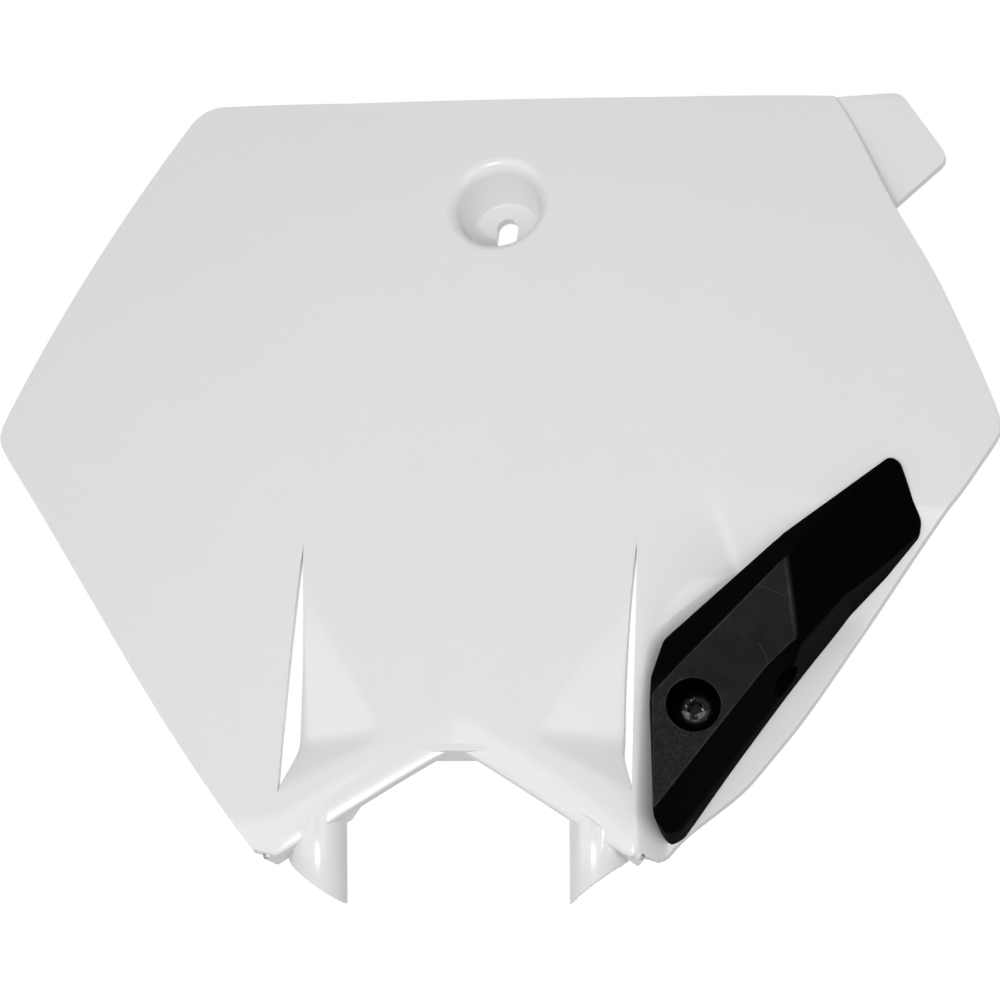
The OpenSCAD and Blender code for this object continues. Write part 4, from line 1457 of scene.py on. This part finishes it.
class SCREW_OT_build(bpy.types.Operator):
    """Build the cover screw"""

    bl_idname = "number_board.screw"
    bl_label = "Cover Screw"

    def execute(self, context):
        shape = BoardShape(context.scene)
        s = shape.s
        profile = screw_profile(s)
        turn = circle(SCREW_POINTS)
        rings = [[(r * math.cos(a), r * math.sin(a), z) for a in turn] for r, z, _, _ in profile]
        mesh = lofted("screw_body", rings)
        for layer, column in (("lobe", 2), ("thread", 3)):
            values = [float(ring[column]) for ring in profile for _ in turn]
            mesh.attributes.new(layer, "FLOAT", "POINT").data.foreach_set("value", values)
        material = black_steel(shape)
        sizes = {
            "Lobes": s.lobes,
            "Lobe Share": s.lobe,
            "Pitch": s.pitch,
            "Thread Share": s.thread_d / s.shank_r,
        }
        mesh = run_tree(mesh, screw_tree(sizes, material), sizes, "screw_body")
        turned_back(mesh, s.place_x, s.place_z, shape.head_seat - s.head_h)
        mesh.transform(shape.leaned())
        smoothed(mesh, SCREW_SHARP)
        piece("screw_body", mesh, material, "black_steel", "cover_screw")
        return {"FINISHED"}


class STAGE_OT_build(bpy.types.Operator):
    """Set up the camera, the lamps, the world and the floor"""

    bl_idname = "number_board.stage"
    bl_label = "Stage"

    def execute(self, context):
        set_camera(context.scene)
        set_light(context.scene)
        set_floor(context.scene)
        return {"FINISHED"}


# The camera's aim along the board's own axes and the width of its film, in millimetres
AIM = Vector((9.927, 0, -97.017)) * MM
SENSOR_WIDTH = 36
# Each lamp's turn and rise from the front in degrees, size in metres and share of the power
LAMPS = {
    "right_lamp": (35, -3, (1.6, 1.3), 0.59),
    "left_lamp": (-35, -3, (1.6, 1.3), 0.53),
    "front_lamp": (0, -6, (0.5, 0.1), 0.36),
}
LAMP_DISTANCE = 1.8
# Half of the floor's width, its grey and the light by which the eye sees it white
FLOOR_REACH, FLOOR_GREY, FLOOR_LIFT = 8.0, 0.7, 0.82


def set_camera(scene):
    """The photograph's view, from its angles to the face of the board."""
    s = scene.studio
    level = Vector((-math.sin(s.yaw), math.cos(s.yaw), 0))
    view = level * math.cos(s.dip) + Vector((0, 0, math.sin(s.dip)))
    right = Vector((math.cos(s.yaw), math.sin(s.yaw), 0))
    up = right.cross(view)
    across = right * math.cos(s.roll) + up * math.sin(s.roll)
    upward = up * math.cos(s.roll) - right * math.sin(s.roll)
    turn = Matrix((across, upward, -view)).transposed().to_4x4()
    data = bpy.data.cameras.new("camera")
    data.lens = s.lens
    data.sensor_width = SENSOR_WIDTH
    data.clip_end = 20
    camera = bpy.data.objects.new("camera", data)
    scene.collection.objects.link(camera)
    spot = Matrix.Translation(AIM - view * s.distance)
    camera.matrix_world = BoardShape(scene).leaned() @ spot @ turn
    scene.camera = camera


def area_lamp(scene, name, place, aim, size, power):
    data = bpy.data.lights.new(name, "AREA")
    data.shape = "RECTANGLE"
    data.size, data.size_y = size
    data.energy = power
    lamp = bpy.data.objects.new(name, data)
    scene.collection.objects.link(lamp)
    lamp.location = place
    lamp.visible_camera = False
    lamp.rotation_mode = "QUATERNION"
    lamp.rotation_quaternion = (place - aim).to_track_quat("Z", "Y")


def seen_white(nodes):
    """One for the rays that show the background, by eye, in gloss or through glass."""
    path = nodes.tree.nodes.new("ShaderNodeLightPath")
    rays = ("Is Camera Ray", "Is Glossy Ray", "Is Transmission Ray")
    return sum(Wire(nodes, path.outputs[ray]) for ray in rays).held()


def set_light(scene):
    s = scene.studio
    low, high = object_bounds()
    middle = (low + high) / 2
    for name, (turn, rise, size, share) in LAMPS.items():
        spin = Matrix.Rotation(math.radians(turn), 3, "Z")
        lift = Matrix.Rotation(math.radians(-rise), 3, "X")
        way = spin @ lift @ Vector((0, -LAMP_DISTANCE, 0))
        area_lamp(scene, name, middle + way, middle, size, s.key * share)
    scene.world = bpy.data.worlds.new("studio")
    nodes = shader_nodes(scene.world)
    shown = seen_white(nodes)
    strength = shown + (1 - shown) * s.ambient
    light = nodes.node("ShaderNodeBackground", inputs={"Color": WHITE, "Strength": strength})
    nodes.node("ShaderNodeOutputWorld", inputs={"Surface": light})


def set_floor(scene):
    """A plain pale floor that keeps the board's shadow."""
    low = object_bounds()[0].z - scene.studio.floor_drop
    signs = ((-1, -1), (1, -1), (1, 1), (-1, 1))
    corners = [(FLOOR_REACH * x, FLOOR_REACH * y, low) for x, y in signs]
    mesh = mesh_of("floor", corners, [(0, 1, 2, 3)])
    material, nodes = new_material("floor_paint")
    plain = nodes.node("ShaderNodeBsdfDiffuse", inputs={"Color": (*[FLOOR_GREY] * 3, 1)})
    strength = seen_white(nodes) * FLOOR_LIFT
    lift = nodes.node("ShaderNodeEmission", inputs={"Color": WHITE, "Strength": strength})
    both = nodes.node("ShaderNodeAddShader", inputs={0: plain, 1: lift})
    nodes.node("ShaderNodeOutputMaterial", inputs={"Surface": both})
    mesh.materials.append(material)
    floor = bpy.data.objects.new("floor", mesh)
    scene.collection.objects.link(floor)
    floor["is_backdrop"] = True


STEPS = ("number_board.board", "number_board.cover", "number_board.screw", "number_board.stage")


class BOARD_PT_panel(bpy.types.Panel):
    """Lists the pieces of the number board"""

    bl_idname = "BOARD_PT_panel"
    bl_label = "Number Board"
    bl_space_type = "VIEW_3D"
    bl_region_type = "UI"
    bl_category = "Number Board"

    def draw(self, context):
        for step in STEPS:
            self.layout.operator(step)


SETTINGS = {
    "board_sizes": BoardSizes,
    "louvre_sizes": LouvreSizes,
    "fitting_sizes": FittingSizes,
    "cover_sizes": CoverSizes,
    "screw_sizes": ScrewSizes,
    "finishes": Finishes,
    "studio": StudioSettings,
}
CLASSES = (
    *SETTINGS.values(),
    BOARD_OT_build,
    COVER_OT_build,
    SCREW_OT_build,
    STAGE_OT_build,
    BOARD_PT_panel,
)


def register():
    for each in CLASSES:
        bpy.utils.register_class(each)
    for name, group in SETTINGS.items():
        setattr(bpy.types.Scene, name, PointerProperty(type=group))


def unregister():
    for name in SETTINGS:
        delattr(bpy.types.Scene, name)
    for each in reversed(CLASSES):
        bpy.utils.unregister_class(each)


def main():
    register()
    bpy.context.scene.view_settings.view_transform = "Standard"
    for step in STEPS:
        group, name = step.split(".")
        getattr(getattr(bpy.ops, group), name)()


if __name__ == "__main__":
    main()
